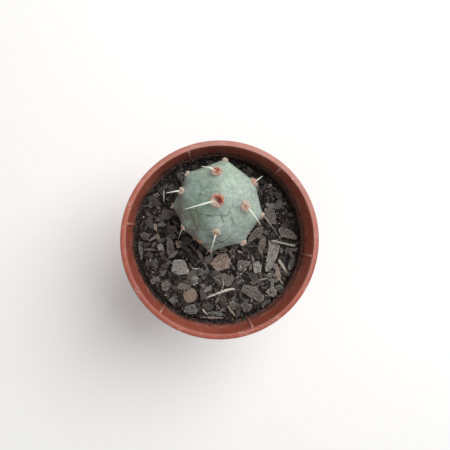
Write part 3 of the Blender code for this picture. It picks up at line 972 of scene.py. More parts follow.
@dataclass(frozen=True)
class Bark:
    """Bark and wood of one chip kind: its face, its grain, its broken edges partly paled as painted
    highlight, its dust, and white specks that are partly painted glints.
    """

    name: str
    face: Colour
    deep: Colour
    pale: Colour
    grain: float = 0.38
    stretch: float = 4.0
    dusty: float = 0.5

    def dress(self) -> Material:
        """Build the material."""
        tree = Surface(self.name)
        place = tree.place()
        own = tree.kept("own_place", "Vector")
        grain = tree.use(Effects.grain, own, self.grain, self.stretch)
        patches = tree.use(Effects.mottle, own, 1.8, 4.6)[0]
        colour = tree.mix(patches, self.deep, self.face)
        colour = tree.coat(grain["Mask"], 0.62, colour, self.pale)
        sheets = tree.vector("MULTIPLY", own, (0.22, 0.3, 2.6))
        layer = tree.span(tree.noise(sheets, 0.7, 3.0, 0.6), 0.4, 0.62)
        side = tree.kept("side")
        colour = tree.coat(tree.times(layer, side), 0.75, colour, self.deep)
        colour = tree.coat(grain["Lines"], 0.55, colour, self.deep)
        # Paler broken edges: partly real rubbing, partly painted highlight along the edges.
        worn_and_glinting = tree.use(Effects.wear, own, 0.5, 1.4)[0]
        colour = tree.mix(worn_and_glinting, colour, self.pale)
        dust = tree.use(Effects.dust, place, 1.4, self.dusty)[0]
        colour = tree.coat(dust, 0.55, colour, tint(168, 158, 150))
        peat = tree.use(Effects.specks, place, 0.62, 0.3)[0]
        colour = tree.coat(peat, 0.75, colour, tint(40, 31, 27))
        # White specks: partly pale grit on the bark, partly painted glints.
        white = tree.use(Effects.specks, tree.vector("ADD", place, (2.0, 5.0, 3.0)), 0.55, 0.1)[0]
        colour = tree.coat(white, 0.7, colour, tint(206, 198, 188))
        height = tree.math("SUBTRACT", grain["Mask"], tree.times(grain["Lines"], 0.8))
        height = tree.math("ADD", height, tree.times(tree.noise(own, 0.14, 3.0), 0.8))
        rough = tree.span(patches, 0.0, 1.0, 0.92, 0.74)
        return tree.finish(colour, rough, 0.35, tree.bump(height, 0.12))


@dataclass(frozen=True)
class StemSkin:
    """Waxy grey-green skin: bluish bloom, violet round the areoles, dark olive in the furrows that is partly
    painted shade, and a painted highlight on the side towards the key light.
    """

    sage: Colour = tint(144, 163, 148)
    teal: Colour = tint(108, 133, 120)
    # Pale green, used for the painted highlight and for the pale ray lines.
    light: Colour = tint(183, 203, 175)
    bloom: Colour = tint(160, 173, 168)
    pale: Colour = tint(182, 192, 182)
    violet: Colour = tint(130, 128, 134)
    olive: Colour = tint(98, 106, 70)
    # Dark olive of the furrows and folds, partly painted shade.
    crease: Colour = tint(72, 84, 62)
    # Brown of the left flank and the underside.
    cork: Colour = tint(100, 91, 78)
    rust: Colour = tint(160, 104, 66)

    def dress(self) -> Material:
        """Build the material."""
        tree = Surface("stem_skin")
        place = tree.place()
        broad = tree.use(Effects.mottle, place, 7.0, 3.0)[0]
        colour = tree.mix(broad, self.teal, self.sage)
        # Painted highlight: lighter skin on the side towards the key light.
        young = tree.times(tree.kept("young"), tree.span(broad, 0.0, 1.0, 0.45, 1.0))
        colour = tree.mix(young, colour, self.light)
        fair = tree.ragged("fair", place, (3.0, 4.0), 0.3, 0.7, 0.5)
        colour = tree.mix(fair, colour, self.pale)
        haze = tree.use(Effects.mottle, tree.vector("ADD", place, (11.0, 3.0, 5.0)), 3.6, 4.0)
        colour = tree.coat(haze[0], 0.42, colour, self.bloom)
        halo = tree.ragged("halo", place, (1.5, 3.0), 0.35, 0.65, 0.3)
        colour = tree.coat(halo, 0.45, colour, self.violet)
        # Dark olive in the furrows and along the folds: partly the skin's own colour, partly painted shade in
        # the creases.
        furrow = tree.ragged("furrow", place, (1.3, 4.0), 0.3, 0.55)
        colour = tree.coat(furrow, 0.85, colour, self.crease)
        # Dark teal along the raised rays, partly painted shade; paler where the rays run low.
        rays = tree.kept("rays")
        colour = tree.mix(tree.span(rays, 0.1, 0.75, 0.0, 0.34), colour, self.teal)
        colour = tree.mix(tree.span(rays, -0.15, -0.8, 0.0, 0.2), colour, self.light)
        olive = tree.ragged("olive", place, (0.9, 4.0), 0.26, 0.5)
        colour = tree.coat(olive, 0.75, colour, self.olive)
        stipple = tree.use(Effects.mottle, place, 1.1, 6.0)[0]
        colour = tree.coat(stipple, 0.34, colour, tint(84, 98, 88))
        dots = tree.use(Effects.specks, place, 0.42, 0.6)[0]
        dotted = tree.times(dots, tree.span(tree.noise(place, 2.8, 2.0), 0.36, 0.6, 0.25, 1.0))
        colour = tree.coat(dotted, 0.68, colour, tint(66, 84, 74))
        pores = tree.use(Effects.specks, tree.vector("ADD", place, (4.0, 1.0, 8.0)), 0.3, 0.4)
        colour = tree.coat(pores[0], 0.3, colour, tint(200, 208, 198))
        # Browner and darker on the left flank and underneath.
        corky = tree.ragged("cork", place, (1.9, 5.0, 0.4), 0.3, 0.56)
        colour = tree.coat(corky, 0.85, colour, self.cork)
        scar = tree.ragged("scar", place, (0.7, 3.0, 0.5), 0.36, 0.6)
        colour = tree.coat(scar, 0.9, colour, self.rust)
        fine = tree.math("ADD", tree.noise(place, 0.3, 3.0), tree.times(dots, -0.35))
        rough = tree.span(tree.math("ADD", haze[0], corky), 0.0, 1.6, 0.46, 0.68)
        return tree.finish(
            colour, rough, 0.4, tree.bump(fine, 0.045),
            Subsurface_Weight=0.12, Subsurface_Radius=(1.0, 1.3, 0.6), Subsurface_Scale=0.8 * MM,
        )


@dataclass(frozen=True)
class Felt:
    """Felt of an areole: a ring, a heart inside it and a tuft of wool, each in its colour."""

    name: str
    ring: Colour
    heart: Colour
    wool: Colour

    def dress(self) -> Material:
        """Build the material."""
        tree = Surface(f"areole_felt_{self.name}")
        place = tree.place()
        ring = tree.shaken("ring", tree.noise(place, 0.4, 3.0), 0.35)
        colour = tree.mix(tree.span(ring, 0.3, 0.7), self.heart, self.ring)
        tuft = tree.shaken("tuft", tree.noise(place, 0.35, 3.0), 0.3)
        colour = tree.mix(tree.span(tuft, 0.35, 0.65), colour, self.wool)
        fibres = tree.use(Effects.mottle, place, 0.35, 4.0)[0]
        darker = tree.mix(1.0, colour, (0.42, 0.34, 0.3), "MULTIPLY")
        colour = tree.coat(fibres, 0.6, colour, darker)
        height = tree.math("ADD", fibres, tree.noise(place, 0.1, 2.0))
        rough = tree.span(fibres, 0.0, 1.0, 0.85, 1.0)
        return tree.finish(
            colour, rough, 0.2, tree.bump(height, 0.12), Sheen_Weight=0.3, Sheen_Roughness=0.6
        )


@dataclass(frozen=True)
class Hair:
    """Bristles, wool, spines and pale fibres: a root colour that runs to a tip colour."""

    name: str
    root: Colour
    tip: Colour
    roughness: float = 0.55
    reach: float = 1.0
    streaks: float = 0.12

    def dress(self) -> Material:
        """Build the material."""
        tree = Surface(self.name)
        place = tree.place()
        along = tree.shaken("along", tree.noise(place, 0.5, 2.0), 0.2)
        colour = tree.mix(tree.span(along, 0.0, self.reach), self.root, self.tip)
        grain = tree.use(Effects.grain, tree.kept("own_place", "Vector"), self.streaks, 9.0)
        darker = tree.mix(1.0, colour, (0.62, 0.56, 0.5), "MULTIPLY")
        colour = tree.coat(grain["Mask"], 0.35, colour, darker)
        colour = tree.coat(tree.kept("tone"), 0.3, colour, darker)
        rough = tree.span(grain["Mask"], 0.0, 1.0, self.roughness, self.roughness + 0.15)
        return tree.finish(
            colour, rough, 0.4, tree.bump(grain["Mask"], 0.02),
            Subsurface_Weight=0.1, Subsurface_Radius=(1.0, 0.8, 0.6), Subsurface_Scale=0.2 * MM,
        )


@dataclass(frozen=True)
class Pebblestone:
    """A worn tan stone with fine grains in it."""

    tan: Colour = tint(134, 117, 104)
    warm: Colour = tint(112, 94, 82)
    grey: Colour = tint(158, 144, 132)

    def dress(self) -> Material:
        """Build the material."""
        tree = Surface("tan_pebble")
        place = tree.place()
        patches = tree.use(Effects.mottle, place, 2.0, 3.0)[0]
        colour = tree.mix(patches, self.warm, self.tan)
        grains = tree.use(Effects.specks, place, 0.32, 0.4)[0]
        colour = tree.coat(grains, 0.5, colour, self.grey)
        dark = tree.use(Effects.specks, tree.vector("ADD", place, (1.0, 6.0, 2.0)), 0.4, 0.2)
        colour = tree.coat(dark[0], 0.6, colour, tint(84, 62, 50))
        dust = tree.use(Effects.dust, place, 1.2, 0.4)[0]
        colour = tree.coat(dust, 0.5, colour, self.grey)
        height = tree.math("ADD", tree.noise(place, 0.2, 3.0), tree.times(grains, 0.4))
        rough = tree.span(patches, 0.0, 1.0, 0.88, 0.72)
        return tree.finish(colour, rough, 0.4, tree.bump(height, 0.07))


@dataclass(frozen=True)
class Sowing:
    """How pieces are strewn over a ground or stand on it."""

    density: float
    spacing: float
    smallest: float
    largest: float
    seed: int
    lift: float = 0.0
    tilt: float = 0.4
    where: str = "open"


class Sower:
    """Strews small shapes over a mesh, or stands them on it, with one Geometry Nodes tree."""

    _tree: bpy.types.NodeTree | None = None
    INPUTS = (
        ("Ground", "Geometry", None),
        ("Shapes", "Collection", None),
        ("Density", "Float", 1.0),
        ("Spacing", "Float", 0.1),
        ("Smallest", "Float", 0.5),
        ("Largest", "Float", 1.0),
        ("Lift", "Float", 0.0),
        ("Tilt", "Float", 0.4),
        ("Where", "String", "open"),
        ("Seed", "Int", 1),
        ("Finish", "Material", None),
    )

    @classmethod
    def tree(cls) -> bpy.types.NodeTree:
        """Build the tree the first time that it is asked for."""
        if cls._tree:
            return cls._tree
        tree = bpy.data.node_groups.new("strewn shapes", "GeometryNodeTree")
        for label, kind, value in cls.INPUTS:
            socket = tree.interface.new_socket(name=label, in_out="INPUT", socket_type=f"NodeSocket{kind}")
            if value is not None:
                socket.default_value = value
        tree.interface.new_socket(name="Strewn", in_out="OUTPUT", socket_type="NodeSocketGeometry")
        wiring = Wiring(tree)
        entry = wiring.add("NodeGroupInput").outputs
        share = wiring.add("GeometryNodeInputNamedAttribute", {"Name": entry["Where"]}, data_type="FLOAT")
        points = wiring.add(
            "GeometryNodeDistributePointsOnFaces",
            {"Mesh": entry["Ground"], "Distance Min": entry["Spacing"], "Density Max": entry["Density"],
             "Density Factor": share.outputs["Attribute"], "Seed": entry["Seed"]},
            distribute_method="POISSON",
        )
        shapes = wiring.add(
            "GeometryNodeCollectionInfo",
            {"Collection": entry["Shapes"], "Separate Children": True, "Reset Children": True},
        )
        turn = cls.random(
            wiring, entry["Seed"], 1, "FLOAT_VECTOR", (-1.0, -1.0, -math.pi), (1.0, 1.0, math.pi)
        )
        ways = wiring.add("ShaderNodeCombineXYZ", {"X": entry["Tilt"], "Y": entry["Tilt"], "Z": 1.0})
        held = wiring.vector("MULTIPLY", turn, ways.outputs[0])
        lean = wiring.add("FunctionNodeEulerToRotation", {0: held}).outputs[0]
        turned = wiring.add(
            "FunctionNodeRotateRotation",
            {"Rotation": points.outputs["Rotation"], "Rotate By": lean},
            rotation_space="LOCAL",
        )
        draw = cls.random(wiring, entry["Seed"], 2, "FLOAT", 0.0, 1.0)
        skewed = wiring.math("POWER", draw, 1.8)
        growth = wiring.math("SUBTRACT", entry["Largest"], entry["Smallest"])
        size = wiring.math("MULTIPLY_ADD", skewed, growth, entry["Smallest"])
        placed = wiring.add(
            "GeometryNodeInstanceOnPoints",
            {"Points": points.outputs["Points"], "Instance": shapes.outputs[0], "Pick Instance": True,
             "Rotation": turned.outputs[0], "Scale": size},
        )
        rise = wiring.add("ShaderNodeCombineXYZ", {"X": 0.0, "Y": 0.0, "Z": entry["Lift"]})
        lifted = wiring.add(
            "GeometryNodeTranslateInstances",
            {"Instances": placed.outputs[0], "Translation": rise.outputs[0], "Local Space": True},
        )
        tone = cls.random(wiring, entry["Seed"], 3, "FLOAT", 0.0, 1.0)
        toned = wiring.add(
            "GeometryNodeStoreNamedAttribute",
            {"Geometry": lifted.outputs[0], "Name": "tone", "Value": tone},
            data_type="FLOAT", domain="INSTANCE",
        )
        real = wiring.add("GeometryNodeRealizeInstances", {"Geometry": toned.outputs[0]})
        dressed = wiring.add(
            "GeometryNodeSetMaterial", {"Geometry": real.outputs[0], "Material": entry["Finish"]}
        )
        wiring.add("NodeGroupOutput", {"Strewn": dressed.outputs[0]})
        cls._tree = tree
        return tree

    @staticmethod
    def random(wiring: Wiring, seed: Socket, step: int, kind: str, low: object, high: object) -> Socket:
        """A random value for each shape.

        Args:
            wiring: The tree's wiring.
            seed: The tree's seed.
            step: Sets this draw apart from the others.
            kind: FLOAT or FLOAT_VECTOR.
            low: Lowest value.
            high: Highest value.

        Returns:
            The value.
        """
        node = wiring.add("FunctionNodeRandomValue", data_type=kind)
        live = [socket for socket in node.inputs if socket.enabled]
        wiring.feed(live[0], low)
        wiring.feed(live[1], high)
        wiring.feed(node.inputs["Seed"], wiring.math("ADD", seed, float(step * 101)))
        return next(socket for socket in node.outputs if socket.enabled)

    @classmethod
    def strew(cls, name: str, ground: Mesh, shapes: Sequence[Mesh], sowing: Sowing, finish: Material) -> Mesh:
        """Strew shapes and keep them as a plain mesh.

        Args:
            name: Name of the new mesh.
            ground: What they lie or stand on.
            shapes: The shapes to choose from.
            sowing: How many, how large and how turned.
            finish: Their material.

        Returns:
            The mesh of all of them.
        """
        shelf = bpy.data.collections.new(f"{name}_shapes")
        bpy.context.scene.collection.children.link(shelf)
        for index, shape in enumerate(shapes):
            shelf.objects.link(bpy.data.objects.new(f"{name}_shape_{index:02d}", shape))
        host = helper(name, ground)
        modifier = host.modifiers.new("Strewn", "NODES")
        modifier.node_group = cls.tree()
        values = {
            **{key.capitalize(): value for key, value in vars(sowing).items()},
            "Shapes": shelf,
            "Finish": finish,
        }
        for item in cls.tree().interface.items_tree:
            if item.name in values and item.in_out == "INPUT":
                modifier[item.identifier] = values[item.name]
        host.update_tag()
        mesh = finished_mesh(host)
        host.modifiers.remove(modifier)
        bpy.data.objects.remove(host)
        for shape in list(shelf.objects):
            bpy.data.objects.remove(shape)
        bpy.data.collections.remove(shelf)
        mesh.name = name
        mesh.shade_flat()
        return mesh


@dataclass
class Studio:
    """Camera, floor and soft light."""

    focal: float = 40.0
    sensor: float = 36.0
    camera_place: tuple[float, float, float] = (-8.714, 4.5, 201.752)
    camera_lean: float = math.radians(3.8)
    floor_size: float = 4000.0
    world: float = 0.37
    key_place: tuple[float, float, float] = (215.0, 200.0, 420.0)
    key_size: float = 400.0
    key_power: float = 2.4
    fill_place: tuple[float, float, float] = (-320.0, -200.0, 380.0)
    fill_size: float = 500.0
    fill_power: float = 0.4
    aim_height: float = 45.0

    def camera(self) -> None:
        """Put the camera where the photograph was taken from: over the pot, leaning a little right."""
        data = bpy.data.cameras.new("camera")
        data.lens = self.focal
        data.sensor_width = self.sensor
        data.clip_start = 0.01
        camera = bpy.data.objects.new("camera", data)
        camera.location = Vector(self.camera_place) * MM
        camera.rotation_euler = (0, -self.camera_lean, 0)
        bpy.context.scene.collection.objects.link(camera)
        bpy.context.scene.camera = camera

    def floor(self) -> None:
        """Lay a plain pale floor with a hardly visible tooth."""
        half = self.floor_size / 2
        corners = [(-half, -half, 0), (half, -half, 0), (half, half, 0), (-half, half, 0)]
        mesh = mesh_of("floor", corners, [(0, 1, 2, 3)])
        mesh.transform(Matrix.Scale(MM, 4))
        tree = Surface("pale_floor")
        tooth = tree.noise(tree.place(), 2.0, 4.0)
        colour = tree.mix(tooth, (0.93, 0.93, 0.92), (0.96, 0.96, 0.95))
        mesh.materials.append(tree.finish(colour, 0.9, 0.2))
        helper("floor", mesh)

    def lamp(self, name: str, place: Sequence[float], size: float, power: float) -> None:
        """Hang a square soft lamp that faces the pot.

        Args:
            name: Name of the lamp.
            place: Where it hangs, in millimetres.
            size: Its width.
            power: Its power in watts.
        """
        data = bpy.data.lights.new(name, "AREA")
        data.size = size * MM
        data.energy = power
        lamp = bpy.data.objects.new(name, data)
        lamp.location = Vector(place) * MM
        aim = Vector((0, 0, self.aim_height)) - Vector(place)
        lamp.rotation_euler = aim.to_track_quat("-Z", "Y").to_euler()
        bpy.context.scene.collection.objects.link(lamp)

    def build(self) -> None:
        """Set up the whole studio."""
        scene = bpy.context.scene
        scene.view_settings.view_transform = "Standard"
        world = bpy.data.worlds.new("soft_room")
        world.use_nodes = True
        wiring = Wiring(world.node_tree)
        sky = wiring.add("ShaderNodeBackground", {"Color": (1.0, 1.0, 1.0), "Strength": self.world})
        wiring.add("ShaderNodeOutputWorld", {"Surface": sky.outputs[0]})
        scene.world = world
        self.camera()
        self.floor()
        self.lamp("key", self.key_place, self.key_size, self.key_power)
        self.lamp("fill", self.fill_place, self.fill_size, self.fill_power)


@dataclass
class NurseryPot:
    """The moulded pot: rounded rim, collar, ledge with stacking ribs, body, foot and drained floor."""

    height: float = 52.0
    rim_radius: float = 30.0
    rim_width: float = 1.65
    rim_round: float = 0.8
    lip_under: float = 50.3
    collar_wall: float = 1.1
    ledge_height: float = 43.4
    ledge_radius: float = 27.0
    ledge_width: float = 0.8
    wall: float = 0.8
    foot_radius: float = 20.5
    foot_width: float = 1.7
    base_lift: float = 1.5
    floor_top: float = 2.5
    rib_count: int = 6
    rib_bearing: float = -10.0
    rib_half: float = 0.375
    rib_proud: float = 0.2
    rib_top: float = 51.4
    drain_count: int = 4
    drain_radius: float = 2.2
    drain_circle: float = 12.5
    segments: int = 192
    step: float = 0.9
    ledge_strip: tuple[tuple[float, float], ...] = ((25.6, 42.9), (26.3, 43.42), (26.85, 43.42))
    web_size: tuple[float, float, float] = (14.4, 0.7, 0.9)
    web_middle: float = 11.0
    tide_height: float = 45.2
    splash_top: float = 47.5
    scuff_top: float = 50.4

    def collar_inside(self, height: float) -> float:
        """Radius of the collar's inner wall at a height."""
        share = (height - self.ledge_height) / (self.height - self.ledge_height)
        return self.ledge_radius + share * (self.rim_radius - self.rim_width - self.ledge_radius)

    def wall_inside(self, height: Array) -> Array:
        """Radius of the inner wall below the ledge at a height."""
        foot = self.foot_radius - self.wall
        throat = self.ledge_radius - self.ledge_width
        share = (height - self.floor_top) / (self.ledge_height - self.floor_top)
        return foot + np.clip(share, 0, 1) * (throat - foot)

    def profile(self) -> list[tuple[float, float, float]]:
        """Half section: radius, height and corner rounding of each point, up inside and down outside."""
        foot = self.foot_radius
        throat = self.ledge_radius - self.ledge_width
        under = self.ledge_height - self.collar_wall
        return [
            (0, self.floor_top, 0),
            (foot - self.wall, self.floor_top, 0.9),
            (throat, self.ledge_height - 0.3, 0.15),
            (throat + 0.25, self.ledge_height, 0.12),
            (self.ledge_radius, self.ledge_height, 0.2),
            (self.rim_radius - self.rim_width, self.height, 0.22),
            (self.rim_radius, self.height, self.rim_round),
            (self.rim_radius, self.lip_under, 0.25),
            (self.collar_inside(self.lip_under) + self.collar_wall, self.lip_under, 0.2),
            (self.ledge_radius + self.collar_wall, under, 0.35),
            (throat + self.wall, under - 0.3, 0.3),
            (foot, 0, 0.3),
            (foot - self.foot_width, 0, 0.3),
            (foot - self.foot_width - 0.3, self.base_lift, 0.3),
            (0, self.base_lift, 0),
        ]

    def section(self) -> list[tuple[float, float]]:
        """The half section with round corners and long runs cut into short steps."""
        points = [np.array(point[:2]) for point in self.profile()]
        rounding = [point[2] for point in self.profile()]
        path = [points[0]]
        for before, point, after, radius in zip(points, points[1:], points[2:], rounding[1:]):
            into, out = unit(point - before), unit(after - point)
            bend = math.acos(float(np.clip(into.dot(out), -1, 1)))
            room = 0.45 * min(np.linalg.norm(point - before), np.linalg.norm(after - point))
            cut = min(radius * math.tan(bend / 2), room)
            for share in np.linspace(0, 1, 7):
                start, end = point - into * cut, point + out * cut
                path.append((1 - share) ** 2 * start + 2 * share * (1 - share) * point + share**2 * end)
        path.append(points[-1])
        fine = [path[0]]
        for point in path[1:]:
            gap = np.linalg.norm(point - fine[-1])
            if gap < 0.01:
                continue
            count = max(1, math.ceil(gap / self.step))
            start = fine[-1]
            fine.extend(start + (point - start) * (step + 1) / count for step in range(count))
        return [tuple(point) for point in fine]

    def turned(self) -> Mesh:
        """Turn the half section about the pot's axis and close both poles."""
        section = self.section()
        inner = section[1:-1]
        corners = [(0, 0, section[0][1])]
        for radius, height in inner:
            for step in range(self.segments):
                turn = 2 * math.pi * step / self.segments
                corners.append((radius * math.cos(turn), radius * math.sin(turn), height))
        corners.append((0, 0, section[-1][1]))
        faces = []
        count = self.segments
        for step in range(count):
            beside = (step + 1) % count
            faces.append((0, 1 + step, 1 + beside))
            for ring in range(len(inner) - 1):
                first = 1 + ring * count
                faces.append((first + step, first + count + step, first + count + beside, first + beside))
            last = 1 + (len(inner) - 1) * count
            faces.append((len(corners) - 1, last + beside, last + step))
        return mesh_of("pot_turned", corners, faces)

    def ribs(self) -> Mesh:
        """Six thin webs on the ledge, with rounded edges, rooted in the collar."""
        low = self.ledge_height - 0.7
        top_inside = self.collar_inside(self.rib_top)
        ends = {
            -1: (self.ledge_radius - self.ledge_width + 0.1, self.ledge_radius + 0.4, low),
            1: (top_inside - self.rib_proud, top_inside + 0.4, self.rib_top),
        }
        bm = bmesh.new()
        for index in range(self.rib_count):
            turn = Matrix.Rotation(math.radians(self.rib_bearing + index * 360 / self.rib_count), 3, "Z")
            for vertex in bmesh.ops.create_cube(bm, size=2)["verts"]:
                inner, outer, height = ends[round(vertex.co.z)]
                radius = outer if vertex.co.x > 0 else inner
                vertex.co = turn @ Vector((radius, vertex.co.y * self.rib_half, height))
        bmesh.ops.bevel(bm, geom=bm.edges[:], offset=0.16, segments=3, profile=0.5, affect="EDGES")
        return baked("rib_webs", bm)

    def ledge(self) -> Mesh:
        """A strip along the ledge for crumbs to lie on, more of them where the mix reaches it."""
        turns = np.linspace(0, 2 * math.pi, 181)[:-1]
        rings = [
            np.column_stack([np.cos(turns) * radius, np.sin(turns) * radius, turns * 0 + height])
            for radius, height in self.ledge_strip
        ]
        count = len(turns)
        faces = []
        for ring, step in itertools.product((0, count), range(count)):
            beside = (step + 1) % count
            faces.append((ring + step, ring + count + step, ring + count + beside, ring + beside))
        mesh = mesh_of("ledge_strip", np.vstack(rings), faces)
        reach = smooth(-0.5, 0.6, np.cos(turns - math.radians(195))) * 0.85 + 0.15
        reach *= 0.55 + 0.45 * smooth(-0.3, 0.3, Relief(14).layers(rings[0], 5.0, 2))
        record_value(mesh, "ledge", np.tile(reach, 3))
        return mesh

    def drains(self) -> Mesh:
        """Four flared pins that cut the drain holes."""
        bm = bmesh.new()
        for index in range(self.drain_count):
            bearing = math.radians(45 + index * 360 / self.drain_count)
            place = Vector((math.cos(bearing), math.sin(bearing), 0)) * self.drain_circle
            bmesh.ops.create_cone(
                bm, cap_ends=True, segments=40, radius1=self.drain_radius, radius2=self.drain_radius,
                depth=12, matrix=Matrix.Translation(place),
            )
        return baked("drain_pins", bm)

    def underside(self) -> Mesh:
        """Stiffening webs, rings round the drains and the gate mark under the floor."""
        bm = bmesh.new()
        for index in range(4):
            turn = Matrix.Rotation(math.radians(index * 90), 4, "Z")
            web = bmesh.ops.create_cube(bm, size=1)["verts"]
            bmesh.ops.scale(bm, vec=self.web_size, verts=web)
            out = Matrix.Translation((self.web_middle, 0, self.base_lift - 0.15))
            bmesh.ops.transform(bm, matrix=turn @ out, verts=web)
        bmesh.ops.create_cone(
            bm, cap_ends=True, segments=48, radius1=2.6, radius2=2.9, depth=0.9,
            matrix=Matrix.Translation((0, 0, self.base_lift - 0.1)),
        )
        bmesh.ops.create_cone(
            bm, cap_ends=True, segments=24, radius1=0.5, radius2=0.8, depth=0.5,
            matrix=Matrix.Translation((0, 0, self.base_lift - 0.7)),
        )
        return baked("floor_webs", bm)

    def build(self) -> Object:
        """Build and dress the pot."""
        tools = {
            "ribs": helper("rib_webs", self.ribs()),
            "webs": helper("floor_webs", self.underside()),
            "drains": helper("drain_pins", self.drains()),
        }
        steps = [
            ("BOOLEAN", {"operation": "UNION", "object": tools["ribs"], "solver": "EXACT"}),
            ("BOOLEAN", {"operation": "UNION", "object": tools["webs"], "solver": "EXACT", "use_self": True}),
            ("BOOLEAN", {"operation": "DIFFERENCE", "object": tools["drains"], "solver": "EXACT"}),
        ]
        mesh = worked("nursery_pot", self.turned(), steps)
        for tool in tools.values():
            bpy.data.objects.remove(tool)
        self.weather(mesh)
        mesh.materials.clear()
        mesh.materials.append(TerracottaPlastic().dress())
        shade(mesh, 40)
        return show("nursery_pot", mesh, "terracotta_plastic", ["pot"])

    def weather(self, mesh: Mesh) -> None:
        """Keep where the plastic is bleached, handled, splashed and marked by water, and where a highlight is
        painted on the rim's lit side and the rib edges.

        Args:
            mesh: The pot's mesh.
        """
        places = corners_of(mesh)
        radius = np.hypot(places[:, 0], places[:, 1])
        bearing = np.arctan2(places[:, 1], places[:, 0])
        height = places[:, 2]
        relief = Relief(11)
        lining = np.where(height > self.ledge_height, self.collar_inside(height), self.wall_inside(height))
        inside = (radius < lining + 0.4) & (height > self.floor_top - 0.2)
        uneven = relief.layers(places, 9.0, 3)
        top = smooth(self.height - 1.5, self.height - 0.1, height + 0.25 * uneven)
        # Painted highlight: the rim is paler on the side towards the key light.
        lit_side = 0.5 + 0.5 * np.cos(bearing - math.radians(70))
        wall = np.where(inside, 0.06, 0.2 * (height < self.scuff_top)) * (1 + 0.5 * uneven)
        # Painted highlight: the inner edges of the ribs are paler, as where they catch the light.
        on_rib = inside & (radius < self.collar_inside(height) - 0.12) & (height > self.ledge_height + 0.35)
        inner_band = smooth(29.3, 28.7, radius)
        fade = np.clip(top * (0.08 + 0.12 * inner_band + 0.45 * lit_side**2.5) + wall + on_rib, 0, 1)
        tide_line = smooth(2.2, 0.3, np.abs(height - self.tide_height + 0.6 * uneven)) * inside
        wet = height + 1.1 * relief.layers(places, 3.0, 2)
        splash = smooth(self.splash_top, self.ledge_height, wet) * inside
        splash = np.maximum(splash, inside * smooth(43.75, 43.5, height))
        splash = np.maximum(splash, ~inside * 0.35 * smooth(5.0, 0.5, height + 2.0 * uneven))
        touched = np.where(inside & (height < self.height - 0.5), 0.45, 1.0)
        flat = np.zeros(len(places))
        record_values(mesh, fade=fade, tide=tide_line, splash=splash, touched=touched, edge=flat)
        record_place(mesh, np.column_stack([np.abs(bearing) * 30, height, radius]))
        outward = places / np.maximum(radius, 1e-6)[:, None] * [1, 1, 0]
        free = (radius > 5) & (height > 3) & (height < self.height - 0.9)
        wave = 0.035 * relief.layers(places, 12.0, 2) * free
        places += outward * wave[:, None]
        over = np.maximum(np.hypot(places[:, 0], places[:, 1]) / (self.rim_radius - 0.002), 1)
        move_corners(mesh, places / np.column_stack([over, over, over * 0 + 1]))


class BarkKind(Enum):
    """The kinds of bark in the mulch, by how they look."""

    ASH = "ash"
    GREY = "grey"
    DUN = "dun"
    BROWN = "brown"
    RED = "red"
    SLATE = "slate"
    PLUM = "plum"
    OLIVE = "olive"
    TAN = "tan"


BARK_FINISHES = {
    kind: Bark(f"{kind.value}_bark", *tints(face, deep, pale), *grain)
    for kind, face, deep, pale, *grain in (
        (BarkKind.ASH, (136, 128, 124), (84, 77, 74), (188, 182, 176), 0.3, 3.0, 0.5),
        (BarkKind.GREY, (121, 116, 109), (60, 56, 52), (172, 168, 160), 0.34, 5.0, 0.45),
        (BarkKind.DUN, (86, 78, 75), (40, 35, 33), (136, 126, 120), 0.4, 4.0, 0.4),
        (BarkKind.BROWN, (80, 70, 64), (40, 33, 30), (134, 121, 112), 0.4, 3.6, 0.35),
        (BarkKind.RED, (138, 114, 102), (78, 57, 49), (184, 163, 150), 0.5, 3.0, 0.4),
        (BarkKind.SLATE, (66, 67, 67), (30, 31, 33), (124, 126, 123), 0.32, 4.0, 0.3),
        (BarkKind.PLUM, (74, 65, 68), (34, 28, 31), (124, 114, 116), 0.36, 3.0, 0.3),
        (BarkKind.OLIVE, (98, 100, 86), (54, 55, 46), (138, 140, 124), 0.34, 4.0, 0.35),
        (BarkKind.TAN, (142, 122, 96), (84, 66, 48), (178, 160, 132), 0.34, 4.0, 0.3),
    )
}
BARK_SLOTS = {
    **dict.fromkeys((BarkKind.ASH, BarkKind.GREY, BarkKind.OLIVE), "grey_bark"),
    **dict.fromkeys((BarkKind.DUN, BarkKind.BROWN), "brown_bark"),
    **dict.fromkeys((BarkKind.RED, BarkKind.TAN), "red_bark"),
    **dict.fromkeys((BarkKind.SLATE, BarkKind.PLUM), "slate_bark"),
}


@dataclass(frozen=True)
class LooseChip:
    """A chip too small for a CAD node: its kind, thickness, heading and tilt, and its plan."""

    kind: BarkKind
    thickness: float
    heading: float
    tilt: float
    outline: tuple[tuple[float, float], ...]


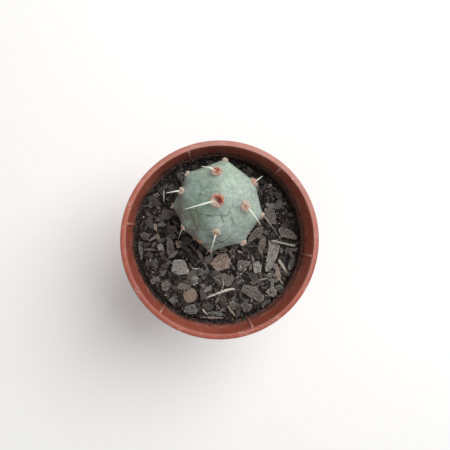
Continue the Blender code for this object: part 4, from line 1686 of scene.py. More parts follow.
LOOSE_CHIPS = tuple(
    LooseChip(kind, thickness, heading, tilt, tuple(zip(plan[::2], plan[1::2])))
    for kind, thickness, heading, tilt, *plan in (
        (BarkKind.OLIVE, 1.0, 20, 8, 17.9, -15.0, 19.6, -14.6, 21.3, -16.0, 20.3, -17.0, 19.3, -17.3),
        (BarkKind.OLIVE, 0.9, 10, 8, 14.0, -12.0, 15.7, -10.9, 17.5, -10.5, 17.5, -11.6, 16.7, -12.3,
         14.4, -12.4),
        (BarkKind.RED, 1.2, 105, 10, 17.8, -7.8, 18.5, -7.7, 19.4, -10.5, 19.6, -13.0, 18.7, -13.5,
         18.1, -12.0),
        (BarkKind.PLUM, 0.9, 20, 14, 4.8, -14.5, 5.4, -13.2, 7.6, -12.7, 8.0, -13.1, 7.5, -13.8, 5.6, -14.7),
        (BarkKind.DUN, 1.0, 15, 8, -18.6, -8.1, -15.9, -7.2, -15.8, -8.6, -17.7, -9.6),
        (BarkKind.SLATE, 1.0, -10, 8, -8.6, -8.8, -5.8, -9.1, -4.4, -10.0, -4.9, -11.1, -6.3, -11.4,
         -8.2, -11.2, -8.8, -10.3),
        (BarkKind.GREY, 1.0, -30, 8, -9.7, -12.5, -8.9, -11.4, -7.0, -11.8, -5.6, -12.9, -6.8, -13.9,
         -7.9, -15.1, -8.6, -13.9),
        (BarkKind.DUN, 1.0, 60, 9, -6.0, -14.1, -4.3, -13.4, -3.5, -14.5, -4.8, -16.0, -5.6, -15.6),
        (BarkKind.OLIVE, 1.0, 0, 8, -19.2, 5.1, -16.2, 5.1, -17.5, 3.8, -18.7, 3.8),
        (BarkKind.PLUM, 1.3, 0, 8, -16.2, 4.1, -13.5, 4.4, -13.2, 2.8, -15.2, 1.5, -16.5, 2.6),
        (BarkKind.ASH, 1.2, 80, 6, -19.6, -1.6, -18.4, -1.0, -17.7, -1.5, -17.4, -3.5, -19.3, -3.6),
        (BarkKind.PLUM, 1.2, 10, 12, -25.0, 1.7, -23.5, 2.6, -21.8, 1.3, -22.6, -0.4, -23.6, -0.1,
         -24.8, 0.9),
        (BarkKind.SLATE, 1.0, 0, 8, -22.7, 10.6, -21.6, 11.2, -20.2, 11.1, -20.2, 10.4, -21.5, 9.9),
        (BarkKind.SLATE, 1.0, 40, 12, -16.6, 16.4, -15.1, 17.5, -14.1, 17.2, -14.3, 15.8, -15.4, 15.4),
        (BarkKind.ASH, 0.9, -10, 16, 14.5, 17.7, 16.9, 17.8, 17.2, 17.3, 16.0, 16.4),
        (BarkKind.TAN, 1.0, 70, 5, -20.1, 1.6, -19.1, 1.6, -18.8, 0.4, -19.5, -0.2, -20.2, 0.5),
        (BarkKind.RED, 0.9, 100, 12, -20.9, 4.8, -20.0, 5.0, -19.5, 3.2, -19.7, 2.1, -20.5, 3.1),
        (BarkKind.DUN, 1.0, -60, 16, -7.5, -3.2, -6.7, -3.0, -4.7, -5.7, -3.4, -9.3, -3.9, -9.9, -5.6, -7.0),
        (BarkKind.SLATE, 1.0, -8, 8, -4.1, -23.1, -2.3, -22.6, -0.1, -23.1, 2.4, -24.2, 1.0, -24.5,
         -2.0, -23.9),
        (BarkKind.DUN, 0.9, -6, 8, -6.4, -24.3, -3.0, -24.3, 0.8, -24.7, 1.9, -25.1, -2.3, -25.1,
         -5.8, -24.8),
        (BarkKind.PLUM, 1.0, 0, 9, 6.5, -20.5, 8.4, -19.8, 10.4, -21.0, 9.7, -22.9, 7.7, -23.1),
        (BarkKind.DUN, 1.0, -30, 10, 2.9, -20.0, 4.6, -19.4, 6.0, -20.8, 4.5, -21.6),
        (BarkKind.SLATE, 1.0, 20, 10, -21.9, -12.6, -20.2, -12.0, -19.7, -13.7, -21.2, -14.2),
        (BarkKind.PLUM, 1.0, 50, 10, -22.1, -7.2, -20.0, -5.7, -19.2, -7.1, -20.8, -8.8),
        (BarkKind.DUN, 1.1, 40, 8, -18.5, -14.0, -16.5, -12.6, -15.0, -14.0, -16.0, -16.0, -18.0, -16.3),
        (BarkKind.SLATE, 1.0, 50, 10, -16.0, -18.9, -14.3, -17.7, -12.9, -19.2, -14.2, -20.4),
        (BarkKind.PLUM, 1.0, 60, 10, 19.8, 10.8, 21.9, 9.8, 22.0, 7.8, 20.0, 8.2),
        (BarkKind.BROWN, 1.0, 70, 14, 2.9, -3.9, 4.0, -2.7, 4.9, -4.0, 4.5, -6.3, 3.9, -5.6),
        (BarkKind.SLATE, 1.0, 30, 10, 8.4, 22.4, 10.2, 23.0, 11.2, 21.6, 9.5, 20.9),
        (BarkKind.PLUM, 1.0, 45, 10, -13.5, 19.8, -11.8, 21.4, -10.7, 20.5, -12.4, 18.5),
        (BarkKind.DUN, 1.0, 40, 10, -21.0, 13.9, -19.3, 15.0, -18.6, 13.8, -20.3, 12.5),
    )
)


@dataclass
class BarkMulch:
    """The bark chips: one piece for each CAD chip, and the loose small ones between them."""

    cell: float = 0.13
    kinds: tuple[BarkKind, ...] = (
        BarkKind.ASH, BarkKind.RED, BarkKind.BROWN, BarkKind.GREY, BarkKind.DUN,
        BarkKind.GREY, BarkKind.DUN, BarkKind.GREY, BarkKind.SLATE, BarkKind.BROWN,
        BarkKind.BROWN, BarkKind.DUN, BarkKind.DUN, BarkKind.SLATE, BarkKind.PLUM,
        BarkKind.DUN, BarkKind.RED, BarkKind.SLATE, BarkKind.SLATE,
    )
    ground: BVHTree | None = None
    _finishes: dict[BarkKind, Material] = field(default_factory=dict)

    def finish_of(self, kind: BarkKind) -> Material:
        """The material of one kind of bark, built once."""
        if kind not in self._finishes:
            self._finishes[kind] = BARK_FINISHES[kind].dress()
        return self._finishes[kind]

    @staticmethod
    def axes_of(places: Array) -> Array:
        """The long, wide and thick ways of a flake, one a column."""
        spread = places - places.mean(axis=0)
        _, ways = np.linalg.eigh(spread.T @ spread)
        ways = ways[:, ::-1]
        if ways[2, 2] < 0:
            ways[:, 2] *= -1
        ways[:, 0] = np.cross(ways[:, 1], ways[:, 2])
        return ways

    def break_up(self, mesh: Mesh, ways: Array, middle: Array, seed: int) -> None:
        """Give a smooth-sided flake its split layers, fibres, dents and cracks.

        Args:
            mesh: The even skin of the flake.
            ways: Its long, wide and thick ways, one a column.
            middle: Its middle.
            seed: Which flake this is.
        """
        relief = Relief(seed)
        places = corners_of(mesh)
        normals = neighbour_mean(mesh, normals_of(mesh), 1)
        own = (places - middle) @ ways
        shift = np.array([seed * 3.7, seed * 1.9, seed * 2.3])
        read = own + shift
        side = 1 - np.abs(unit(normals) @ ways[:, 2])
        broad = (0.09 + 0.11 * side) * relief.layers(read, 1.3, 3)
        fibre = 0.07 * relief.layers(read * [0.2, 1, 1], 0.42, 2) * (1 - 0.5 * side)
        layer = own[:, 2] / 0.34 + 1.1 * relief.at(read, 1.4)
        split = np.abs(layer - np.round(layer)) * 2
        ledges = 0.13 * smooth(0.15, 0.0, 1 - split) * smooth(0.25, 0.8, side)
        cracks = 0.16 * relief.ridges(read * [0.3, 1, 0.6], 1.3, 0.16)
        flakes = 0.15 * np.round(relief.layers(read * [0.45, 0.8, 1], 1.7, 2) * 2) / 2 * (1 - side)
        moved = places + unit(normals) * (broad + fibre + flakes - ledges - cracks)[:, None]
        move_corners(mesh, moved)
        record_place(mesh, read)
        record_value(mesh, "side", smooth(0.2, 0.75, side))
        record_edges(mesh, 0.035)
        shade(mesh, 50)

    def chip(self, number: int, kind: BarkKind) -> Mesh:
        """Make the fine mesh of one CAD chip."""
        node = f"bark_chip_{number:02d}"
        blank = cad_mesh(node)
        corners = corners_of(blank)
        mesh = in_cells(f"bark_{number:02d}", blank, self.cell)
        self.break_up(mesh, self.axes_of(corners), corners.mean(axis=0), 100 + number)
        mesh.materials.append(self.finish_of(kind))
        return mesh

    def small(self, number: int, chip: LooseChip) -> Mesh:
        """Make one loose chip, lying on the mix."""
        middle = np.mean(chip.outline, axis=0)
        turn = Matrix.Rotation(math.radians(chip.heading), 4, "Z")
        turn = turn @ Matrix.Rotation(math.radians(chip.tilt), 4, "X")
        blank = flake(f"loose_{number}", chip.outline, chip.thickness, chip.heading, number)
        hit = self.ground.ray_cast(Vector((*middle, ABOVE_ALL)), DOWN)[0]
        place = Vector((*middle, hit.z + 0.3 * chip.thickness))
        blank.transform(Matrix.Translation(place) @ turn)
        mesh = in_cells(f"loose_chip_{number:02d}", blank, self.cell * 1.1)
        self.break_up(mesh, np.array(turn.to_3x3()), np.array(place), 300 + number)
        mesh.materials.append(self.finish_of(chip.kind))
        return mesh

    def build_chips(self) -> list[Mesh]:
        """Build and dress the pieces that stand for the CAD chips.

        Returns:
            Their meshes in millimetres, for laying the mix against them.
        """
        blanks = []
        for number, kind in enumerate(self.kinds, start=1):
            mesh = self.chip(number, kind)
            blanks.append(mesh.copy())
            show(f"bark_{number:02d}", mesh, BARK_SLOTS[kind], [f"bark_chip_{number:02d}"])
        return blanks

    def build_loose(self) -> list[Mesh]:
        """Build and dress the loose small chips, one piece for each kind of bark.

        Returns:
            Their meshes in millimetres.
        """
        kept = []
        for kind in BarkKind:
            chosen = [(number, chip) for number, chip in enumerate(LOOSE_CHIPS) if chip.kind is kind]
            if chosen:
                name = f"loose_{kind.value}_chips"
                mesh = joined(name, [self.small(number, chip) for number, chip in chosen])
                kept.append(mesh.copy())
                show(name, mesh, BARK_SLOTS[kind])
        return kept


@dataclass
class Stem:
    """The stem segment: a globe whose skin runs flat from one tubercle to the next."""

    centre: tuple[float, float, float] = (-0.7, 10.3, 52.0)
    radii: tuple[float, float, float] = (13.4, 13.6, 12.6)
    face_half_angle: float = math.radians(25)
    ridge_softness: float = math.radians(3.0)
    peak_round: float = math.radians(4.0)
    subdivisions: int = 7
    areole_count: int = 22
    furrow_depth: float = 0.12
    noise_radius: float = 13
    # Lines added to the furrow mask: slight dents, coloured partly as painted shade along folds of the skin.
    folds: tuple[tuple[Direction, Direction, float], ...] = (
        ((-0.32, 0.18, 0.92), (-0.55, 0.25, 0.8), 0.035),
        ((-0.61, -0.34, 0.71), (-0.76, -0.11, 0.64), 0.07),
        ((-0.76, -0.11, 0.64), (-0.55, -0.49, 0.68), 0.06),
        ((-0.61, -0.34, 0.71), (-0.49, -0.68, 0.55), 0.05),
        ((0.0, -0.2, 0.98), (0.07, -0.45, 0.89), 0.04),
        ((0.21, -0.2, 0.96), (0.33, -0.53, 0.78), 0.05),
    )
    olive_reach: tuple[Direction, Direction, float] = ((-0.49, -0.41, 0.77), (-0.72, -0.1, 0.69), 0.3)
    mesh: Mesh | None = None
    tubercles: Array = field(default_factory=lambda: np.zeros((0, 3)))

    def read_tubercles(self) -> None:
        """Take the direction of each tubercle from the CAD areole that stands on it."""
        middles = np.array([cad_middle(f"areole_{number:02d}") for number in range(1, self.areole_count + 1)])
        self.tubercles = unit((middles - self.centre) / self.radii)

    def reach(self, directions: Array) -> tuple[Array, Array]:
        """How far the skin is from the centre in each direction, and how near a furrow is.

        Args:
            directions: Unit vectors, one a row.

        Returns:
            The reach against the plain globe, and the gap between the two nearest
            tubercles' angles, which is 0 in the middle of a furrow.
        """
        angles = np.arccos(np.clip(directions @ self.tubercles.T, -1, 1))
        rounded = np.hypot(angles, self.peak_round)
        ordered = np.sort(rounded, axis=1)
        nearest = ordered[:, 0]
        crowd = np.exp((nearest[:, None] - rounded) / self.ridge_softness).sum(axis=1)
        angle = nearest - self.ridge_softness * np.log(crowd) - self.peak_round
        angle = np.clip(angle, 0, self.face_half_angle)
        face = math.cos(self.face_half_angle) / np.cos(self.face_half_angle - angle)
        return face, ordered[:, 1] - ordered[:, 0]

    def build(self) -> None:
        """Build and dress the stem."""
        self.read_tubercles()
        bm = bmesh.new()
        bmesh.ops.create_icosphere(bm, subdivisions=self.subdivisions, radius=1)
        mesh = baked("stem_segment", bm)
        directions = unit(corners_of(mesh))
        face, gap = self.reach(directions)
        scaled = directions * self.radii
        outward = unit(directions / self.radii)
        relief = Relief(5)
        read = directions * self.noise_radius
        angles = np.arccos(np.clip(directions @ self.tubercles.T, -1, 1))
        owner = angles.argmin(axis=1)
        near = angles.min(axis=1)
        wander = 0.02 * relief.layers(read, 2.0, 2)
        furrow = smooth(0.07, 0.0, gap + wander) * smooth(0.14, 0.24, near)
        left = smooth(0.1, 0.7, directions @ unit(np.array([-0.8, -0.35, 0.5])))
        furrow *= (0.06 + 0.94 * left) * smooth(-0.35, 0.25, relief.layers(read, 5.2, 2))
        for start, end, width in self.folds:
            furrow = np.maximum(furrow, self.stroke(directions, start, end, width))
        bearing = self.bearing_about(directions, owner)
        spokes = np.column_stack([np.cos(bearing) * 3.2, np.sin(bearing) * 3.2, owner * 5.7 + near * 2.2])
        rays = relief.layers(spokes, 0.34, 2) * smooth(0.09, 0.2, near) * smooth(0.75, 0.3, near)
        dimple = smooth(0.2, 0.1, near) * 0.18
        below = smooth(-0.15, -0.7, directions[:, 2])
        creases = relief.ridges(read * [1, 1, 2.2], 2.6, 0.12) * below
        lift = (
            0.09 * relief.layers(read, 4.2, 2)
            + 0.03 * relief.layers(read, 0.7, 2)
            + 0.028 * rays
            - self.furrow_depth * furrow
            + dimple
            - 0.25 * creases
        )
        move_corners(mesh, scaled * face[:, None] + self.centre + outward * lift[:, None])
        self.mark(mesh, directions, furrow, near, rays)
        mesh.materials.append(StemSkin().dress())
        mesh.shade_smooth()
        self.mesh = mesh.copy()
        show("stem_segment", mesh, "stem_skin", ["cactus_stem"])

    @staticmethod
    def stroke(directions: Array, start: Sequence[float], end: Sequence[float], width: float) -> Array:
        """1 along a line over the skin between two directions, fading to 0 at its width."""
        start, way = np.array(start), np.array(end) - np.array(start)
        share = np.clip((directions - start) @ way / (way @ way), 0, 1)
        gap = np.linalg.norm(directions - start - share[:, None] * way, axis=1)
        return smooth(width, 0.2 * width, gap) * smooth(1.0, 0.6, share)

    def bearing_about(self, directions: Array, owner: Array) -> Array:
        """Bearing of each direction about its own tubercle."""
        peak = self.tubercles[owner]
        side = unit(np.cross(peak, UP + 0.01))
        over = np.cross(peak, side)
        return np.arctan2((directions * over).sum(axis=1), (directions * side).sum(axis=1))

    @staticmethod
    def mark(mesh: Mesh, directions: Array, furrow: Array, near: Array, rays: Array) -> None:
        """Keep what the skin's colours follow.

        Args:
            mesh: The stem's mesh.
            directions: Direction of each corner.
            furrow: 1 in a furrow.
            near: Angle to the nearest tubercle.
            rays: Lines that run out from the areoles.
        """
        relief = Relief(6)
        read = directions * Stem.noise_radius
        lumps = relief.layers(read, 5.0, 3)
        ways = {
            "lit": (0.55, 0.62, 0.35),
            "flank": (-0.9, -0.42, 0.06),
            "patch": (-0.45, -0.78, 0.44),
            "fair": (0.85, -0.42, 0.4),
        }
        facing = {name: directions @ unit(np.array(way)) for name, way in ways.items()}
        lines = 0.4 + 0.6 * smooth(-0.2, 0.5, relief.layers(read * [0.5, 0.25, 1.6], 0.9, 2))
        # Browner and darker on the left flank and underneath.
        cork = smooth(0.36, 0.86, facing["flank"] + 0.18 * lumps)
        cork += smooth(-0.35, -0.8, directions[:, 2] + 0.15 * lumps)
        record_values(
            mesh,
            furrow=furrow,
            halo=smooth(0.36, 0.14, near + 0.06 * lumps),
            rays=rays,
            fair=0.85 * smooth(-0.1, 0.75, facing["fair"] + 0.1 * lumps),
            olive=Stem.stroke(directions + 0.05 * lumps[:, None], *Stem.olive_reach) * lines,
            # Painted highlight: strongest on the side facing the key light.
            young=smooth(0.1, 1.0, facing["lit"] + 0.25 * lumps),
            cork=np.clip(cork, 0, 1),
            scar=0.8 * smooth(0.988, 0.998, facing["patch"] + 0.005 * lumps),
        )

    def seat(self, number: int, reach: float) -> tuple[Array, Array]:
        """Where an areole sits on the skin, and its outward direction.

        Args:
            number: Number of the areole, from 1.
            reach: How far round the seat the skin is averaged.

        Returns:
            The seat in millimetres and the direction.
        """
        direction = self.tubercles[number - 1]
        places = corners_of(self.mesh)
        aim = direction * self.radii
        face, _ = self.reach(direction[None, :])
        seat = aim * face[0] + self.centre
        around = np.linalg.norm(places - seat, axis=1) < reach
        normal = unit(normals_of(self.mesh)[around].mean(axis=0) + unit(direction / self.radii))
        return seat, normal


class AreoleKind(Enum):
    """How an areole looks: at the crown, newly woolly, full of wool, or old and flat."""

    CROWN = "crown"
    FRESH = "fresh"
    WOOLLY = "woolly"
    OLD = "old"


@dataclass(frozen=True)
class AreoleLook:
    """Colours and tufts of one kind of areole."""

    felt: Felt
    glochid: Hair
    wool: Hair
    height: float
    dish: float
    glochids: float
    wools: float
    glochid_length: tuple[float, float]
    wool_length: float


AREOLE_LOOKS = {
    kind: AreoleLook(
        Felt(kind.value, *felt), Hair(f"{kind.value}_glochids", *glochid),
        Hair(f"{kind.value}_wool", *wool, rough), *rest
    )
    for kind, felt, glochid, wool, rough, *rest in (
        (
            AreoleKind.CROWN, tints((240, 170, 134), (112, 20, 10), (228, 206, 196)),
            tints((196, 84, 52), (252, 190, 152)), tints((226, 196, 186), (250, 240, 232)), 0.8,
            0.42, 0.3, 17.0, 30.0, (0.35, 0.7), 0.8,
        ),
        (
            AreoleKind.FRESH, tints((226, 176, 146), (172, 80, 48), (232, 208, 194)),
            tints((196, 98, 62), (246, 180, 140)), tints((222, 184, 168), (250, 236, 226)), 0.8,
            0.42, 0.26, 15.0, 26.0, (0.3, 0.65), 0.65,
        ),
        (
            AreoleKind.WOOLLY, tints((226, 196, 172), (188, 128, 98), (238, 218, 202)),
            tints((190, 120, 86), (234, 196, 164)), tints((230, 206, 186), (252, 246, 236)), 0.8,
            0.6, 0.12, 11.0, 32.0, (0.3, 0.6), 0.65,
        ),
        (
            AreoleKind.OLD, tints((190, 148, 116), (144, 96, 68), (212, 188, 162)),
            tints((156, 98, 64), (212, 168, 126)), tints((200, 168, 144), (238, 224, 206)), 0.85,
            0.2, 0.1, 7.0, 8.0, (0.2, 0.4), 0.5,
        ),
    )
}


@dataclass
class Areoles:
    """The woolly cushions on the tubercles, with glochids and wool standing in them."""

    stem: Stem
    radii: tuple[float, ...] = (
        1.9, 1.5, 1.4, 0.95, 0.95, 1.1, 0.8, 0.85, 0.85, 0.65, 0.5, 0.65, 0.55, 0.8,
        0.6, 0.6, 0.6, 0.6, 0.6, 0.6, 0.6, 0.6,
    )
    crown: tuple[int, ...] = (1,)
    fresh: tuple[int, ...] = (2, 6)
    old: tuple[int, ...] = (14,)
    rings: int = 14
    sides: int = 40
    tuft_bearing: float = math.radians(222)
    seats: dict[int, tuple[Array, Array]] = field(default_factory=dict)

    def kind_of(self, number: int) -> AreoleKind:
        """The kind of an areole, by its number."""
        if number in self.crown:
            return AreoleKind.CROWN
        if number in self.fresh:
            return AreoleKind.FRESH
        return AreoleKind.OLD if number in self.old else AreoleKind.WOOLLY

    def cushion(self, number: int, look: AreoleLook) -> Mesh:
        """The felted cushion of one areole, set into the skin.

        Args:
            number: Number of the areole, from 1.
            look: Colours and tufts of its kind.

        Returns:
            The closed mesh, with its ring and tuft kept on it.
        """
        radius = self.radii[number - 1]
        seat, normal = self.seats[number]
        side = unit(np.cross(UP if abs(normal[2]) < 0.9 else np.array([0, 1.0, 0]), normal))
        over = np.cross(normal, side)
        relief = Relief(500 + number)
        spread = [(ring / self.rings) ** 0.8 for ring in range(1, self.rings + 1)]
        corners = [(0.0, 0.0)]
        for share, step in itertools.product(spread, range(self.sides)):
            turn = 2 * math.pi * step / self.sides
            corners.append((share * math.cos(turn), share * math.sin(turn)))
        flat = np.array(corners)
        out = np.hypot(flat[:, 0], flat[:, 1])
        dome = np.sqrt(np.clip(1 - out**2, 0, 1)) * look.height
        dish = look.dish * smooth(0.72, 0.1, out)
        raised = np.clip(dome + 0.12 - dish, -0.2, None) * radius
        level = np.column_stack([flat, out * 0])
        wobble = 1 + 0.12 * relief.layers(level * 1.4, 0.8, 2) * smooth(0.3, 1.0, out)
        lumps = 0.1 * relief.layers(level * radius, 0.45, 2) * smooth(1.05, 0.8, out)
        top = self.stand(seat, side, over, normal, flat * (radius * wobble)[:, None], raised + lumps)
        rim = flat[-self.sides:] * (radius * wobble[-self.sides:] * 0.82)[:, None]
        root = self.stand(seat, side, over, normal, rim, np.full(self.sides, -0.4))
        bottom = seat - normal * 0.5
        faces = [(0, 1 + step, 1 + (step + 1) % self.sides) for step in range(self.sides)]
        for ring, step in itertools.product(range(self.rings), range(self.sides)):
            here, beside = 1 + ring * self.sides + step, 1 + ring * self.sides + (step + 1) % self.sides
            faces.append((here, here + self.sides, beside + self.sides, beside))
        last = 1 + self.rings * self.sides
        for step in range(self.sides):
            faces.append((last + step, last + self.sides, last + (step + 1) % self.sides))
        mesh = mesh_of(f"areole_felt_{number:02d}", np.vstack([top, root, bottom[None, :]]), faces)
        self.mark(mesh, number, out, radius)
        return mesh

    @staticmethod
    def stand(seat: Array, side: Array, over: Array, normal: Array, flat: Array, rise: Array) -> Array:
        """Places of points given across and above a seat."""
        return seat + flat[:, :1] * side + flat[:, 1:] * over + rise[:, None] * normal

    def mark(self, mesh: Mesh, number: int, out: Array, radius: float) -> None:
        """Keep the ring, the tuft and where bristles and wool grow.

        Args:
            mesh: The cushion.
            number: Number of the areole.
            out: Share of the way from the middle to the edge, on top.
            radius: Radius of the cushion.
        """
        hidden = np.zeros(self.sides + 1)
        kind = self.kind_of(number)
        aim = np.array([math.cos(self.tuft_bearing), math.sin(self.tuft_bearing)])
        towards = (corners_of(mesh)[: len(out), :2] - self.seats[number][0][:2]) @ aim / radius
        tuft = smooth(-0.05, 0.3, towards) * smooth(0.98, 0.8, out) if kind is AreoleKind.CROWN else out * 0
        if kind is AreoleKind.WOOLLY:
            tuft = smooth(-0.2, 0.5, -towards) * 0.7
        if kind is AreoleKind.FRESH:
            tuft = smooth(0.15, 0.6, towards) * 0.8
        heart = smooth(0.7, 0.45, out) * (1 - 0.85 * tuft) * 0.5
        outer = smooth(0.55, 0.7, out) * smooth(1.0, 0.9, out) * (1 - 0.7 * tuft)
        fringe = 0.12 if kind is AreoleKind.CROWN else 0.5
        woolly = np.clip(fringe * smooth(0.45, 0.7, out) + tuft, 0, 1) * (out < 0.99)
        record_values(
            mesh,
            ring=np.concatenate([smooth(0.62, 0.84, out), hidden + 1]),
            tuft=np.concatenate([tuft, hidden]),
            glochid=np.concatenate([np.clip(heart + 0.8 * outer, 0, 1), hidden]),
            wool=np.concatenate([woolly, hidden]),
        )

    @staticmethod
    def bristle(name: str, bend: float, width: float) -> Mesh:
        """A bristle of length 1 that stands on the ground and bends to one side."""
        share = np.linspace(0, 1, 5)
        points = np.column_stack([bend * share**2, 0 * share, share - 0.08])
        return rod(name, points, width * (1 - 0.9 * share**1.4), 4)

    @staticmethod
    def lock(name: str, seed: int) -> Mesh:
        """A curl of wool of length 1 that rises and falls back."""
        share = np.linspace(0, 1, 7)
        draw = random.Random(seed)
        bend = draw.uniform(0.5, 1.1)
        height = draw.uniform(0.35, 0.8)
        sway = draw.uniform(-0.4, 0.4)
        points = np.column_stack(
            [bend * share, sway * np.sin(share * 4), height * np.sin(share * 2.6) - 0.05]
        )
        return rod(name, points, 0.1 * (1 - 0.6 * share**2), 4)

    def build(self) -> None:
        """Build and dress all the areoles."""
        bends = (0.05, 0.16, 0.3)
        bristles = [self.bristle(f"bristle_{index}", bend, 0.11) for index, bend in enumerate(bends)]
        locks = [self.lock(f"lock_{seed}", seed) for seed in range(5)]
        dressed = {
            kind: (look.felt.dress(), look.glochid.dress(), look.wool.dress())
            for kind, look in AREOLE_LOOKS.items()
        }
        for number in range(1, len(self.radii) + 1):
            kind = self.kind_of(number)
            look = AREOLE_LOOKS[kind]
            self.seats[number] = self.stem.seat(number, 1.8)
            felt, glochid, wool = dressed[kind]
            cushion = self.cushion(number, look)
            shortest, longest = look.glochid_length
            size = 0.75 + 0.25 * self.radii[number - 1]
            least, most = shortest * size, longest * size
            stiff = Sowing(look.glochids, 0.1, least, most, 700 + number, 0.0, 0.45, "glochid")
            soft = Sowing(look.wools, 0.06, 0.3, look.wool_length, 800 + number, 0.0, 0.6, "wool")
            parts = [
                Sower.strew("glochids", cushion.copy(), bristles, stiff, glochid),
                Sower.strew("wool", cushion.copy(), locks, soft, wool),
            ]
            cushion.materials.append(felt)
            cushion.shade_smooth()
            mesh = joined(f"areole_tuft_{number:02d}", [cushion, *parts])
            show(f"areole_tuft_{number:02d}", mesh, "areole_wool", [f"areole_{number:02d}"])


@dataclass
class Spines:
    """The long pale spines, each from its areole to its tip."""

    areoles: Areoles
    owners: tuple[int, ...] = (1, 2, 3, 4, 5, 6, 8, 8, 10)
    widths: tuple[float, ...] = (0.55, 0.42, 0.55, 0.5, 0.42, 0.42, 0.26, 0.26, 0.3)
    # Spines greyer and darker than the rest: partly their own colour, partly painted shade.
    dull: tuple[int, ...] = (7, 8, 9)
    steps: int = 26
    sides: int = 12

    def middle_line(self, number: int) -> Array:
        """The middle line of a CAD spine, smoothed, from its root to its tip."""
        corners = corners_of(cad_mesh(f"spine_{number:02d}"))
        seat = self.areoles.seats[self.owners[number - 1]][0]
        root = corners[np.linalg.norm(corners - seat, axis=1).argmin()]
        tip = corners[np.linalg.norm(corners - root, axis=1).argmax()]
        way = unit(tip - root)
        share = (corners - root) @ way / np.linalg.norm(tip - root)
        fit = [np.polyfit(share, corners[:, axis], 3) for axis in range(3)]
        reach = np.linspace(0, 1, self.steps)
        return np.column_stack([np.polyval(curve, reach) for curve in fit])

    def build(self) -> None:
        """Build and dress all the spines."""
        horn = Hair("spine_horn", tint(190, 158, 124), tint(226, 232, 218), 0.42, 0.32, 0.2).dress()
        # Greyer finish for those spines, partly painted shade.
        dull = Hair("spine_grey_and_shaded", tint(170, 144, 118), tint(160, 152, 142), 0.5, 0.32, 0.2).dress()
        for number in range(1, len(self.owners) + 1):
            line = self.middle_line(number)
            seat, normal = self.areoles.seats[self.owners[number - 1]]
            start = seat + normal * 0.1
            lead = [start + (line[0] - start) * share for share in np.linspace(0, 0.85, 4)]
            points = np.vstack([lead, line])
            share = np.linspace(0, 1, len(points))
            base = self.widths[number - 1] / 2
            radii = base * (1.08 - 0.9 * share**1.25) * (1 + 0.16 * np.exp(-((share - 0.12) / 0.06) ** 2))
            radii[-1] = 0.03
            mesh = rod(f"spine_horn_{number:02d}", points, radii, self.sides)
            places = corners_of(mesh)
            places += normals_of(mesh) * (0.012 * Relief(900 + number).layers(places, 0.4, 2))[:, None]
            places[:, 2] = np.minimum(places[:, 2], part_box(f"spine_{number:02d}")[1].z / MM)
            move_corners(mesh, places)
            record_value(mesh, "tone", np.zeros(len(places)))
            mesh.materials.append(dull if number in self.dull else horn)
            mesh.shade_smooth()
            show(f"spine_horn_{number:02d}", mesh, "spine_horn", [f"spine_{number:02d}"])


TWIG_FINISHES = tuple(
    Bark(name, *tints(face, deep, pale), 0.2, 8.0, dusty)
    for name, face, deep, pale, dusty in (
        ("pale_root", (168, 160, 150), (104, 92, 82), (222, 216, 206), 0.35),
        ("tan_twig", (138, 122, 104), (78, 64, 50), (184, 170, 150), 0.2),
        ("olive_twig", (106, 98, 84), (58, 50, 40), (160, 150, 132), 0.15),
        ("grey_twig", (126, 118, 106), (70, 62, 54), (176, 168, 156), 0.25),
        ("flat_twig", (112, 106, 92), (62, 56, 46), (198, 192, 176), 0.15),
    )
)
STICKS = (
    (0.42, ((18.8, -12.4), (19.9, -13.5), (20.9, -14.7))),
    (0.5, ((-6.6, -20.8), (-5.2, -22.2), (-3.8, -23.9))),
    (0.5, ((-17.4, 15.5), (-17.6, 13.4), (-17.5, 11.5))),
    (0.6, ((-23.1, 5.8), (-22.0, 5.3), (-21.2, 5.0))),
    (0.35, ((-9.0, -9.0), (-7.4, -9.2), (-5.8, -9.1))),
    (0.4, ((8.7, -9.3), (6.7, -11.3), (5.2, -12.6))),
    (0.3, ((0.9, -12.4), (1.2, -14.3), (0.9, -16.0))),
    (0.35, ((-21.8, -5.0), (-21.6, -6.4), (-22.0, -7.8))),
    (0.3, ((-14.6, -10.4), (-13.0, -11.0), (-11.2, -10.8))),
)


